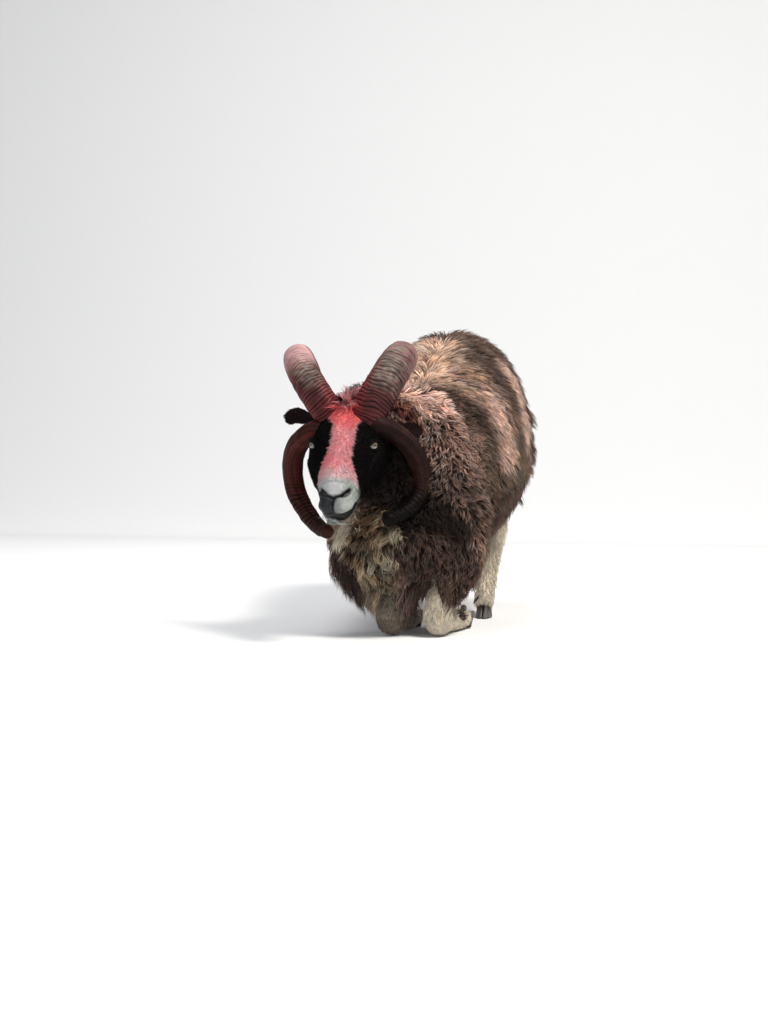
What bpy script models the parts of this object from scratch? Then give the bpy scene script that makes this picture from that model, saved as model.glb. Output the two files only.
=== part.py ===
# A four-horned Jacob ram, down on his front knees with his hind legs standing, as a
# still, life-size model. Every solid is the outline of the coat, out to its tips.
# Metres, +Z up. The ram faces -Y, and his left side is at +X.
import math

import bmesh
import bpy
import numpy as np
from mathutils import Matrix, Vector

# ---- driving dimensions ----
GAP = 0.0004                 # between solids that touch
SEAM_GROW = 0.012            # how far a leg's cut runs outside the leg
RUMP_TOP = 0.752             # highest point of the fleece
WITHERS_TOP = 0.607
BARREL_HALF_WIDTH = 0.238
WHOLE_VOXEL = 0.012
WHOLE_TRIANGLES = 2400

HEAD_YAW = math.radians(-0.5)
HEAD_PITCH = math.radians(45.0)
POLL = Vector((-0.142, -0.105, 0.545))

EYE_RADIUS = 0.0145
EYE_PLACE = (0.067, 0.084, -0.032)       # to the side, along the face, above the face line

# each upper horn: radius at its base, radius of its curve, outward lean, drift as it goes back
UPPER_HORN = {"left": (0.0455, 0.136, math.radians(30.0), -0.06),
              "right": (0.0395, 0.144, math.radians(36.0), -0.12)}
UPPER_HORN_SWEEP = math.radians(138.0)
SIDE_HORN_RADIUS = 0.0252
# the middle line of each side horn from the poll: outward, back, up
SIDE_HORN_PATH = {
    "left": [(0.060, -0.004, -0.030), (0.079, 0.010, -0.036), (0.124, 0.045, -0.068),
             (0.155, 0.076, -0.116), (0.167, 0.084, -0.165), (0.159, 0.066, -0.210),
             (0.133, 0.024, -0.243), (0.104, -0.026, -0.256)],
    "right": [(0.060, -0.004, -0.040), (0.081, 0.008, -0.050), (0.126, 0.045, -0.082),
              (0.148, 0.078, -0.134), (0.142, 0.084, -0.196), (0.109, 0.056, -0.247),
              (0.070, 0.012, -0.279), (0.042, -0.028, -0.288)],
}
# the middle line of each ear from the poll, in the same way
EAR_PATH = {
    "left": [(0.066, 0.004, -0.040), (0.090, 0.034, -0.048), (0.116, 0.060, -0.051),
             (0.141, 0.080, -0.052), (0.160, 0.091, -0.051), (0.172, 0.096, -0.050)],
    "right": [(0.068, 0.002, -0.034), (0.090, 0.038, -0.026), (0.114, 0.064, -0.022),
              (0.138, 0.084, -0.018), (0.157, 0.092, -0.022), (0.166, 0.096, -0.026)],
}
EAR_SECTIONS = [(0.0150, 0.0075), (0.0185, 0.0070), (0.0225, 0.0060),
                (0.0225, 0.0052), (0.0150, 0.0045), (0.0070, 0.0038)]

KNEE = {"left": Vector((0.061, 0.004, 0.033)), "right": Vector((-0.056, 0.000, 0.033))}
FOLD_TURN = {"left": math.radians(13.0), "right": math.radians(10.0)}
CANNON_LENGTH = 0.125
HIND_FOOT = {"left": Vector((0.122, 0.385, 0.0)), "right": Vector((-0.118, 0.455, 0.0))}

CLAW_LENGTH = 0.056
CLAW_WIDTH = 0.0235
CLAW_HEIGHT = 0.036
FOLDED_CLAWS = 0.044         # from the fetlock to the claws of a folded forefoot

SIDES = {"left": 1.0, "right": -1.0}

# Outline of the trunk's fleece: y, x of the middle, top, widest height, bottom, half width
TRUNK_STATIONS = [
    (0.845, 0.002, 0.620, 0.49, 0.370, 0.085),
    (0.790, 0.002, 0.705, 0.48, 0.285, 0.168),
    (0.700, 0.001, RUMP_TOP, 0.46, 0.238, 0.212),
    (0.560, 0.000, 0.732, 0.43, 0.205, 0.232),
    (0.410, -0.002, 0.686, 0.40, 0.178, BARREL_HALF_WIDTH),
    (0.270, -0.006, 0.640, 0.37, 0.150, 0.224),
    (0.180, -0.014, 0.618, 0.35, 0.130, 0.198),
    (0.090, -0.024, WITHERS_TOP, 0.33, 0.110, 0.186),
    (0.025, -0.032, 0.540, 0.29, 0.098, 0.178),
    (-0.028, -0.044, 0.375, 0.24, 0.104, 0.154),
    (-0.066, -0.056, 0.300, 0.22, 0.138, 0.116),
]
# Outline of the neck's wool: x, y, z of the middle, half width, depth above, depth below
NECK_STATIONS = [
    (-0.020, 0.200, 0.400, 0.165, 0.205, 0.190),
    (-0.045, 0.120, 0.420, 0.155, 0.195, 0.190),
    (-0.078, 0.050, 0.440, 0.140, 0.180, 0.170),
    (-0.112, -0.010, 0.455, 0.110, 0.162, 0.140),
    (-0.132, -0.052, 0.470, 0.080, 0.135, 0.100),
]
# Fleece over the upper legs: outward, y, z, half width, depth in front, depth behind
HAUNCH_WOOL = [
    (0.120, 0.640, 0.500, 0.102, 0.150, 0.130),
    (0.140, 0.585, 0.400, 0.088, 0.130, 0.120),
    (0.142, 0.560, 0.320, 0.066, 0.085, 0.085),
    (0.138, 0.555, 0.265, 0.046, 0.052, 0.052),
]
LEG_WOOL = {
    "foreleg_left": [
        (0.104, 0.060, 0.300, 0.084, 0.090, 0.095),
        (0.098, 0.036, 0.205, 0.078, 0.076, 0.085),
        (0.088, 0.020, 0.140, 0.068, 0.062, 0.068),
        (0.080, 0.010, 0.096, 0.055, 0.048, 0.052),
    ],
    "foreleg_right": [
        (0.140, 0.070, 0.300, 0.088, 0.085, 0.090),
        (0.128, 0.036, 0.220, 0.088, 0.080, 0.088),
        (0.092, 0.018, 0.148, 0.068, 0.062, 0.066),
        (0.066, 0.008, 0.100, 0.043, 0.044, 0.048),
    ],
    "hindleg_left": HAUNCH_WOOL,
    "hindleg_right": HAUNCH_WOOL,
}


def new_collection(name):
    """An empty collection in the scene."""
    made = bpy.data.collections.new(name)
    bpy.context.scene.collection.children.link(made)
    return made


def material(name, colour, roughness):
    """A plain Principled material."""
    made = bpy.data.materials.new(name)
    made.use_nodes = True
    shader = made.node_tree.nodes["Principled BSDF"]
    shader.inputs["Base Color"].default_value = (*colour, 1.0)
    shader.inputs["Roughness"].default_value = roughness
    return made


def through(stations, steps):
    """Rows of numbers read from a smooth Catmull-Rom curve through the stations."""
    rows = np.array(stations, float)
    first = 2 * rows[0] - rows[1]
    last = 2 * rows[-1] - rows[-2]
    rows = np.vstack([first, rows, last])
    found = []
    for i in range(1, len(rows) - 2):
        for t in np.linspace(0, 1, steps, endpoint=False):
            a, b, c, d = rows[i - 1:i + 3]
            found.append(0.5 * (2 * b + (c - a) * t + (2 * a - 5 * b + 4 * c - d) * t ** 2
                                + (3 * b - a - 3 * c + d) * t ** 3))
    found.append(rows[-2])
    return np.array(found)


def ring_frames(centres, up, side):
    """For each point of a path, its direction and the sideways and upward directions of
    its section, from a rough upward direction or, where the path turns through it, from a
    sideways one. With neither, the sections stay upright and face -Y."""
    tangents = np.gradient(centres, axis=0)
    tangents /= np.linalg.norm(tangents, axis=1)[:, None]
    if up is None and side is None:
        upright = np.zeros_like(centres)
        ahead = upright + [0, math.copysign(1, tangents[0, 1]), 0]
        return ahead, upright + [1, 0, 0], upright + [0, 0, 1]
    if side is not None:
        up = np.cross(np.array(side, float), tangents)
    across = np.cross(tangents, np.array(up, float))
    across /= np.linalg.norm(across, axis=1)[:, None]
    return tangents, across, np.cross(across, tangents)


def loft(name, rows, ring=20, power=2.2, up=None, side=None, bulge=(0.0, 0.0), cup=0.0):
    """A closed tube of oval sections. Each row is x, y, z, half width, depth above and
    depth below; bulge rounds the two ends, and cup curls each section like a leaf."""
    rows = np.array(rows, float)
    tangents, beside, above = ring_frames(rows[:, :3], up, side)
    sections = [(rows[i, :3], beside[i], above[i], rows[i, 3:6]) for i in range(len(rows))]
    for end, length in ((0, bulge[0]), (-1, bulge[1])):
        if length <= 0:
            continue
        outward = -tangents[0] if end == 0 else tangents[-1]
        centre, s, a, size = sections[end]
        cap = [(centre + outward * length * math.sin(k), s, a, size * math.cos(k))
               for k in np.radians([28, 52, 72])]
        sections = cap[::-1] + sections if end == 0 else sections + cap
    angles = np.linspace(0, 2 * math.pi, ring, endpoint=False)
    across = np.sign(np.cos(angles)) * np.abs(np.cos(angles)) ** (2 / power)
    height = np.sign(np.sin(angles)) * np.abs(np.sin(angles)) ** (2 / power)
    points = []
    for centre, s, a, (half, top, bottom) in sections:
        lift = np.where(height > 0, top, bottom) * height + cup * half * (across ** 2 - 0.5)
        points.extend(centre + np.outer(across * half, s) + np.outer(lift, a))
    count = len(sections)
    faces = [(i * ring + j, i * ring + (j + 1) % ring,
              (i + 1) * ring + (j + 1) % ring, (i + 1) * ring + j)
             for i in range(count - 1) for j in range(ring)]
    faces.append(tuple(range(ring))[::-1])
    faces.append(tuple(range((count - 1) * ring, count * ring)))
    mesh = bpy.data.meshes.new(name)
    mesh.from_pydata([tuple(p) for p in points], [], faces)
    made = bmesh.new()
    made.from_mesh(mesh)
    bmesh.ops.triangulate(made, faces=made.faces)
    bmesh.ops.recalc_face_normals(made, faces=made.faces)
    made.to_mesh(mesh)
    made.free()
    mesh.shade_smooth()
    return bpy.data.objects.new(name, mesh)


def evaluated_copy(name, source):
    """A plain mesh object of what the modifiers make of source."""
    bpy.context.view_layer.update()
    graph = bpy.context.evaluated_depsgraph_get()
    mesh = bpy.data.meshes.new_from_object(source.evaluated_get(graph))
    made = bpy.data.objects.new(name, mesh)
    made.matrix_world = source.matrix_world
    return made


def as_cutter(obj):
    """Puts obj with the cutters, out of the model."""
    cutters.objects.link(obj)
    obj.hide_render = True
    obj.display_type = "WIRE"
    return obj


def grown(source, distance):
    """A cutter of source's shape, larger by distance all round."""
    made = evaluated_copy(source.name + "_cutter", source)
    swell = made.modifiers.new("swell", "DISPLACE")
    swell.mid_level = 0.0
    swell.strength = distance
    return as_cutter(made)


def boolean(obj, operation, *others):
    """Cuts obj by the others, joins them, or keeps what they share. These closed, curved
    shapes need the MANIFOLD solver: EXACT leaves slivers and open edges in them."""
    for other in others:
        step = obj.modifiers.new(operation.lower(), "BOOLEAN")
        step.operation = operation
        step.solver = "MANIFOLD"
        step.object = other


def add_part(obj, finish):
    """Puts a finished solid in the model."""
    obj.data.materials.clear()
    obj.data.materials.append(finish)
    model.objects.link(obj)
    return obj


def outward(rows, side):
    """Stations whose first number is outward, with that number made an x."""
    found = np.array(rows, float)
    found[:, 0] *= SIDES[side]
    return found


def head_axes():
    """The head's sideways, forward and dorsal directions."""
    sideways = Vector((math.cos(HEAD_YAW), math.sin(HEAD_YAW), 0))
    forward = Vector((math.sin(HEAD_YAW) * math.cos(HEAD_PITCH),
                      -math.cos(HEAD_YAW) * math.cos(HEAD_PITCH), -math.sin(HEAD_PITCH)))
    return sideways, forward, forward.cross(sideways)


def on_head(across, along, above):
    """World place of a point given in the head's own directions, from the poll."""
    sideways, forward, dorsal = head_axes()
    return POLL + sideways * across + forward * along + dorsal * above


def trunk_rows():
    """The trunk's stations as loft rows, from the rump to the brisket."""
    return [(x, y, wide, half, top - wide, wide - bottom)
            for y, x, top, wide, bottom, half in TRUNK_STATIONS]


def make_whole():
    """Trunk, neck, haunches, upper legs and tail as one smooth body of fleece."""
    pieces = [loft("trunk_form", through(trunk_rows(), 4), 28, 2.05, bulge=(0.025, 0.028)),
              loft("neck_form", through(NECK_STATIONS, 4), 24, 2.1, bulge=(0.02, 0.02))]
    for side in SIDES:
        for leg in ("foreleg", "hindleg"):
            rows = through(outward(LEG_WOOL[f"{leg}_{side}"], side), 3)
            pieces.append(loft("limb_form", rows, 16, up=(0, -1, 0), bulge=(0.03, 0.016)))
    pieces.append(tail_form("tail_in_whole"))
    joined = bmesh.new()
    for piece in pieces:
        joined.from_mesh(piece.data)
        bpy.data.objects.remove(piece)
    mesh = bpy.data.meshes.new("whole")
    joined.to_mesh(mesh)
    joined.free()
    shape = as_cutter(bpy.data.objects.new("whole_form", mesh))
    skin = shape.modifiers.new("one_body", "REMESH")
    skin.mode = "VOXEL"
    skin.voxel_size = WHOLE_VOXEL
    blend = shape.modifiers.new("soften", "SMOOTH")
    blend.factor = 0.5
    blend.iterations = 6
    remeshed = as_cutter(evaluated_copy("whole_fine", shape))
    thin = remeshed.modifiers.new("thin", "DECIMATE")
    thin.ratio = WHOLE_TRIANGLES / (2 * len(remeshed.data.polygons))
    return as_cutter(evaluated_copy("whole", remeshed))


def tail_form(name):
    """The woolly tail, hanging behind the rump."""
    rows = [(0.012, 0.825, 0.585, 0.040, 0.030, 0.030),
            (0.012, 0.868, 0.500, 0.050, 0.034, 0.036),
            (0.012, 0.872, 0.400, 0.050, 0.034, 0.036),
            (0.012, 0.862, 0.330, 0.034, 0.026, 0.026)]
    return loft(name, rows, 12, up=(0, -1, 0), bulge=(0.02, 0.026))


def scrotum_form():
    """The purse below the groin, woolly and hanging."""
    rows = [(0.0, 0.560, 0.290, 0.050, 0.045, 0.045),
            (0.0, 0.560, 0.225, 0.044, 0.042, 0.042),
            (0.0, 0.560, 0.165, 0.052, 0.045, 0.045),
            (0.0, 0.558, 0.130, 0.040, 0.036, 0.036)]
    return loft("scrotum", rows, 10, up=(0, -1, 0), bulge=(0.02, 0.022))


def head_form():
    """The short-haired head, from inside the neck's wool to the lips."""
    # along the face, top, bottom, half width, where it is widest
    profile = [
        (-0.060, -0.030, -0.112, 0.052, -0.070),
        (-0.030, 0.004, -0.138, 0.069, -0.068),
        (0.000, 0.016, -0.154, 0.080, -0.072),
        (0.040, 0.015, -0.166, 0.088, -0.077),
        (0.080, 0.014, -0.164, 0.092, -0.077),
        (0.118, 0.008, -0.150, 0.085, -0.074),
        (0.155, 0.000, -0.134, 0.070, -0.070),
        (0.195, -0.008, -0.132, 0.054, -0.066),
        (0.230, -0.017, -0.137, 0.045, -0.070),
        (0.253, -0.028, -0.135, 0.039, -0.078),
        (0.265, -0.042, -0.126, 0.030, -0.084),
    ]
    sideways, _, dorsal = head_axes()
    rows = []
    for along, top, bottom, half, wide in profile:
        rows.append((*on_head(0, along, wide), half, top - wide, wide - bottom))
    return loft("head", rows, 14, 2.15, up=dorsal, bulge=(0.02, 0.009))


def from_poll(side, path):
    """World places of points given outward, back and up from the poll."""
    return [POLL + Vector((out * SIDES[side], back, up)) for out, back, up in path]


def upper_horn_form(side):
    """An arc that rises outward from the poll and curls back over the neck."""
    sign = SIDES[side]
    radius, arc, lean, drift = UPPER_HORN[side]
    base = on_head(0.046 * sign, -0.006, -0.018)
    rise = Vector((math.sin(lean) * sign, -0.05, math.cos(lean))).normalized()
    back = Vector((drift, 1.0, 0.10)).normalized()
    rows = []
    for share in np.linspace(-0.06, 1, 11):
        turn = UPPER_HORN_SWEEP * share
        centre = base + (rise * math.sin(turn) + back * (1 - math.cos(turn))) * arc
        size = radius * (1 - 0.62 * max(share, 0) ** 4)
        rows.append((*centre, size * 0.98, size * 1.05, size * 1.05))
    return loft(f"horn_upper_{side}", rows, 10, 2.2, side=rise.cross(back), bulge=(0, 0.012))


def side_horn_form(side):
    """A horn that leaves the side of the head, sweeps back and down beside the cheek, and
    curls in behind the jaw."""
    points = np.array(through(from_poll(side, SIDE_HORN_PATH[side]), 2))
    share = np.linspace(0, 1, len(points))[:, None]
    size = SIDE_HORN_RADIUS * (1 - 0.35 * share ** 3)
    rows = np.hstack([points, size * 0.97, size * 1.06, size * 1.06])
    return loft(f"horn_side_{side}", rows, 9, 2.1, up=(SIDES[side], -0.9, 0.0),
                bulge=(0, 0.010))


def ear_form(side):
    """A leaf that stands out behind the side horn."""
    rows = [(*place, half, thick, thick)
            for place, (half, thick) in zip(from_poll(side, EAR_PATH[side]), EAR_SECTIONS)]
    return loft(f"ear_{side}", rows, 8, 2.0, up=(0.0, -0.9, 0.3), bulge=(0, 0.004), cup=0.30)


def claw_form(name, inner):
    """One half of a cloven hoof. The toe points to -Y, the sole is at z 0, and inner is
    +1 or -1, the side that faces its twin."""
    box = bmesh.new()
    bmesh.ops.create_cube(box, size=1.0)
    for v in box.verts:
        toe, top, outer = v.co.y < 0, v.co.z > 0, v.co.x * inner < 0
        width = CLAW_WIDTH * (0.5 if toe else 1.0) * (0.80 if top else 1.0)
        v.co.x = inner * (0.0015 + (width if outer else 0.0))
        v.co.x *= -1
        v.co.y = -CLAW_LENGTH * (0.45 if top else 1.0) if toe else 0.0
        v.co.z = CLAW_HEIGHT if top else 0.0
    bmesh.ops.recalc_face_normals(box, faces=box.faces)
    mesh = bpy.data.meshes.new(name)
    box.to_mesh(mesh)
    box.free()
    mesh.shade_smooth()
    made = bpy.data.objects.new(name, mesh)
    edge = made.modifiers.new("worn", "BEVEL")
    edge.width = 0.005
    edge.segments = 1
    made.modifiers.new("triangles", "TRIANGULATE")
    return made


def ball(name, centre, size, segments=8, rings=5):
    """An oval solid, size being its three half axes."""
    mesh = bpy.data.meshes.new(name)
    made = bmesh.new()
    bmesh.ops.create_uvsphere(made, u_segments=segments, v_segments=rings, radius=1.0)
    bmesh.ops.scale(made, vec=size, verts=made.verts)
    made.to_mesh(mesh)
    made.free()
    mesh.shade_smooth()
    obj = bpy.data.objects.new(name, mesh)
    obj.location = centre
    return obj


def eye_form(side):
    """The eyeball, sunk in its socket."""
    across, along, above = EYE_PLACE
    place = on_head(across * SIDES[side], along, above)
    return ball(f"eye_{side}", place, (EYE_RADIUS,) * 3, 10, 7)


def fold_direction(side):
    """The way the folded forefoot points along the ground."""
    turn = FOLD_TURN[side]
    return Vector((math.sin(turn), math.cos(turn), 0))


def foreleg_form(side):
    """Knee, and the cannon and pastern folded back along the ground."""
    sign = SIDES[side]
    knee, back = KNEE[side], fold_direction(side)
    fetlock = knee + back * CANNON_LENGTH
    fetlock.z = 0.025
    pastern = fetlock + back * 0.040
    rows = [(knee.x + 0.014 * sign, knee.y + 0.020, 0.170, 0.030, 0.031, 0.031),
            (knee.x + 0.007 * sign, knee.y + 0.010, 0.115, 0.030, 0.032, 0.032),
            (knee.x + 0.001 * sign, knee.y - 0.001, 0.070, 0.0335, 0.036, 0.034),
            (knee.x, knee.y + 0.004, knee.z, 0.0330, 0.036, 0.034),
            (*(knee + back * 0.035).xy, 0.027, 0.0265, 0.026, 0.026),
            (*(knee + back * 0.080).xy, 0.024, 0.0215, 0.023, 0.022),
            (*fetlock.xy, 0.026, 0.0265, 0.027, 0.026),
            (*pastern.xy, 0.025, 0.0245, 0.023, 0.023)]
    return loft(f"foreleg_{side}_lower", through(rows, 2), 10, 2.1,
                side=back.cross(Vector((0, 0, 1))), bulge=(0.01, 0.008))


def hindleg_form(side):
    """Hock, cannon and pastern, the foot set forward under the belly."""
    sign = SIDES[side]
    foot = HIND_FOOT[side]
    rows = [(foot.x + 0.019 * sign, foot.y + 0.155, 0.330, 0.034, 0.050, 0.046),
            (foot.x + 0.018 * sign, foot.y + 0.155, 0.275, 0.029, 0.036, 0.038),
            (foot.x + 0.017 * sign, foot.y + 0.150, 0.235, 0.027, 0.032, 0.036),
            (foot.x + 0.014 * sign, foot.y + 0.122, 0.190, 0.023, 0.025, 0.025),
            (foot.x + 0.008 * sign, foot.y + 0.088, 0.135, 0.021, 0.022, 0.022),
            (foot.x, foot.y + 0.056, 0.085, 0.0265, 0.026, 0.027),
            (foot.x, foot.y + 0.030, 0.055, 0.0240, 0.022, 0.024),
            (foot.x, foot.y + 0.010, 0.030, 0.0240, 0.022, 0.024)]
    return loft(f"hindleg_{side}_lower", rows, 12, 2.1, up=(0, -1, 0), bulge=(0.01, 0.004))


def claws_of(foot, side):
    """The two claws and two dewclaws of one foot, in their places."""
    claws, dewclaws = [], []
    for which, inner in (("inner", -SIDES[side]), ("outer", SIDES[side])):
        claw = claw_form(f"claw_{foot}_{side}_{which}", -inner)
        if foot == "hind":
            place = HIND_FOOT[side] + Vector((0, 0.036, 0))
            claw.matrix_world = Matrix.Translation(place)
            dew = HIND_FOOT[side] + Vector((0.0135 * inner, 0.059, 0.062))
        else:
            back = fold_direction(side)
            place = KNEE[side] + back * (CANNON_LENGTH + FOLDED_CLAWS)
            place.z = CLAW_HEIGHT
            turn = Matrix.Rotation(-FOLD_TURN[side], 4, "Z") @ Matrix.Rotation(math.pi, 4, "X")
            claw.matrix_world = Matrix.Translation(place) @ turn
            dew = KNEE[side] + back * (CANNON_LENGTH + 0.012)
            dew += back.cross(Vector((0, 0, 1))) * 0.0135 * inner
            dew.z = 0.055
        claws.append(claw)
        dewclaws.append(ball(f"dewclaw_{foot}_{side}_{which}", dew, (0.0075, 0.0085, 0.0095)))
    return claws, dewclaws


def half_space(name, point, normal, size=4.0):
    """A cutter that fills what lies beyond a plane, on the side its normal points to."""
    mesh = bpy.data.meshes.new(name)
    box = bmesh.new()
    bmesh.ops.create_cube(box, size=size)
    bmesh.ops.translate(box, vec=(0, 0, size / 2), verts=box.verts)
    box.to_mesh(mesh)
    box.free()
    made = bpy.data.objects.new(name, mesh)
    turn = Vector(normal).to_track_quat("Z", "Y").to_matrix().to_4x4()
    made.matrix_world = Matrix.Translation(point) @ turn
    return as_cutter(made)


def neck_side(gap):
    """What lies in front of the slanting cut between neck and trunk."""
    normal = Vector((0.07, -0.81, 0.59)).normalized()
    return half_space("neck_side", Vector((-0.05, 0.032, 0.42)) - normal * gap, normal)


def beyond_foot(foot, side):
    """What lies past the end of a leg, where its claws begin."""
    if foot == "hind":
        return half_space("past_pastern", (0, 0, CLAW_HEIGHT + GAP), (0, 0, -1))
    back = fold_direction(side)
    place = KNEE[side] + back * (CANNON_LENGTH + FOLDED_CLAWS - GAP)
    return half_space("past_pastern", place, back)


def limb(name, whole, wool_rows, lower, *beyond):
    """One leg: the fleece inside its seam, joined to the bare lower leg, without what lies
    beyond. It gives the leg and the cutters that part its neighbours from it."""
    seam = as_cutter(loft(name + "_seam", wool_rows, 10, up=(0, -1, 0), bulge=(0.03, 0.05)))
    upper = as_cutter(evaluated_copy(name + "_upper", whole))
    boolean(upper, "INTERSECT", grown(seam, SEAM_GROW))
    leg = evaluated_copy(name, upper)
    boolean(leg, "UNION", as_cutter(lower))
    boolean(leg, "DIFFERENCE", *beyond)
    return leg, [grown(seam, SEAM_GROW + GAP), grown(lower, GAP)]


def build():
    """Makes every solid and parts each from its neighbours."""
    dark_wool = material("dark_wool", (0.17, 0.115, 0.085), 0.95)
    pale_wool = material("pale_wool", (0.56, 0.48, 0.38), 0.95)
    black_hair = material("black_hair", (0.018, 0.015, 0.016), 0.75)
    horn_finish = material("horn", (0.16, 0.075, 0.06), 0.55)
    hoof_finish = material("hoof", (0.09, 0.07, 0.055), 0.5)
    eye_finish = material("eye", (0.30, 0.20, 0.07), 0.08)

    head = add_part(head_form(), black_hair)
    around_head = grown(head, 2 * GAP)
    upper_horns = [add_part(upper_horn_form(side), horn_finish) for side in SIDES]
    side_horns = [add_part(side_horn_form(side), horn_finish) for side in SIDES]
    ears = [add_part(ear_form(side), black_hair) for side in SIDES]
    eyes = [add_part(eye_form(side), eye_finish) for side in SIDES]
    beside_neck = [grown(piece, GAP)
                   for piece in [head] + upper_horns + side_horns + ears + eyes]
    around_horns = [grown(horn, 2 * GAP) for horn in upper_horns + side_horns]
    for horn in upper_horns:
        boolean(horn, "DIFFERENCE", around_head)
    for horn in side_horns:
        boolean(horn, "DIFFERENCE", around_head, *around_horns[:2])
    for ear in ears:
        boolean(ear, "DIFFERENCE", around_head, *around_horns)
    boolean(head, "DIFFERENCE", *(grown(eye, GAP) for eye in eyes))

    whole = make_whole()
    leg_seams = []
    for side in SIDES:
        for foot, lower_form in (("fore", foreleg_form), ("hind", hindleg_form)):
            name = f"{foot}leg_{side}"
            claws, dewclaws = claws_of(foot, side)
            for claw in claws + dewclaws:
                add_part(claw, hoof_finish)
            leg, seams = limb(name, whole, outward(LEG_WOOL[name], side), lower_form(side),
                              below, beyond_foot(foot, side),
                              *(grown(dewclaw, GAP) for dewclaw in dewclaws))
            add_part(leg, pale_wool)
            leg_seams.extend(seams)

    tail = evaluated_copy("tail", whole)
    tail_seam = as_cutter(tail_form("tail_seam"))
    boolean(tail, "INTERSECT", grown(tail_seam, SEAM_GROW))
    add_part(tail, dark_wool)
    purse = add_part(scrotum_form(), pale_wool)

    neck = evaluated_copy("neck", whole)
    boolean(neck, "INTERSECT", neck_side(0.0))
    boolean(neck, "DIFFERENCE", *beside_neck, *leg_seams)
    add_part(neck, dark_wool)

    trunk = evaluated_copy("trunk", whole)
    boolean(trunk, "DIFFERENCE", neck_side(GAP), grown(tail_seam, SEAM_GROW + GAP),
            grown(purse, GAP), *leg_seams, *(grown(horn, GAP) for horn in side_horns))
    add_part(trunk, dark_wool)


def centre_on_base():
    """Moves the model so that its origin is the middle of its base."""
    bpy.context.view_layer.update()
    graph = bpy.context.evaluated_depsgraph_get()
    corners = [obj.matrix_world @ Vector(c) for obj in model.objects
               for c in obj.evaluated_get(graph).bound_box]
    low = [min(c[i] for c in corners) for i in range(3)]
    high = [max(c[i] for c in corners) for i in range(3)]
    shift = Vector((-(low[0] + high[0]) / 2, -(low[1] + high[1]) / 2, 0))
    for obj in list(model.objects) + list(cutters.objects):
        obj.location += shift
    print("moved to the middle of the base by", tuple(round(s, 4) for s in shift))


for old in list(bpy.data.objects):
    bpy.data.objects.remove(old)
model = new_collection("jacob_ram")
cutters = new_collection("cutters")
below = half_space("below", (0, 0, 0), (0, 0, -1))
build()
centre_on_base()
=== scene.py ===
import math

import bpy
import numpy as np
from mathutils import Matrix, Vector


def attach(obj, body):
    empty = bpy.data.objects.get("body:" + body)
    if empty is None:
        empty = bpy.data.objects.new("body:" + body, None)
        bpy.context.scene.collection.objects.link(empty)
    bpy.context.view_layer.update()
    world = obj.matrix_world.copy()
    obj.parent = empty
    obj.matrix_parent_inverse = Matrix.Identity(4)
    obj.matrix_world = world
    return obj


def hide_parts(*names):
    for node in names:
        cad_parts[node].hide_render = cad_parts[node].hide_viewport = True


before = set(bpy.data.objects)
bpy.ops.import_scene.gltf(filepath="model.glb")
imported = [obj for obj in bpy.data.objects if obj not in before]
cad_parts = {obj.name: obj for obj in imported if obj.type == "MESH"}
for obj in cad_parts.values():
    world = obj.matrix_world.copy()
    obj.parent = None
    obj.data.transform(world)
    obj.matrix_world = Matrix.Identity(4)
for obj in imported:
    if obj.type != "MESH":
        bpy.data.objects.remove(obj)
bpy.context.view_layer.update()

middle = np.array([0.0449, -0.3160, 0.0])  # from the point between the knees to the base's middle
sideSigns = {"left": 1.0, "right": -1.0}
twoPi = 2 * math.pi


# small tools: arrays in, arrays out

def unit(arrows):  # the same arrows, each one long
    return arrows / np.maximum(np.linalg.norm(arrows, axis=-1, keepdims=True), 1e-12)


def ease(low, high, values):  # 0 below low, 1 above high, and an S between them
    share = np.clip((values - low) / (high - low), 0, 1)
    return share * share * (3 - 2 * share)


def band(start, full, fall, end, values):  # 1 between full and fall, 0 before start and after end
    return ease(start, full, values) * ease(end, fall, values)


def mix(first, second, share):  # from first to second as share goes from 0 to 1
    return first + (second - first) * share


def ripple(points, size, seed):  # soft noise about 0: sine waves of about this size, in seeded directions
    chance = np.random.default_rng(seed)
    ways = unit(chance.normal(size=(10, 3))) * twoPi / size * chance.uniform(0.6, 1.6, (10, 1))
    return np.sin(points @ ways.T + chance.uniform(0, twoPi, 10)).sum(-1) / 5


def through(stations, steps):  # rows read from a Catmull-Rom curve through the stations
    rows = np.array(stations, float)
    rows = np.vstack([2 * rows[0] - rows[1], rows, 2 * rows[-1] - rows[-2]])
    a, b, c, d = (rows[i:len(rows) - 3 + i, None] for i in range(4))
    t = np.linspace(0, 1, steps, endpoint=False)[None, :, None]
    found = 0.5 * (2 * b + (c - a) * t + (2 * a - 5 * b + 4 * c - d) * t ** 2
                   + (3 * b - a - 3 * c + d) * t ** 3)
    return np.vstack([found.reshape(-1, rows.shape[1]), rows[-2]])


def ovalRing(ring, power):  # across and up round a rounded oval, both from -1 to 1
    turn = np.linspace(0, twoPi, ring, endpoint=False)
    shape = [np.sign(f(turn)) * np.abs(f(turn)) ** (2 / power) for f in (np.cos, np.sin)]
    return shape[0], shape[1]


def capRows(row, way, long):  # a round end: rows that close as they move out, none where long is 0
    turn = np.radians(np.linspace(0, 84, 9 if long > 0 else 1))[1:, None]
    return np.hstack([row[:3] + way * long * np.sin(turn), row[3:6] * np.cos(turn)])


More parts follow.
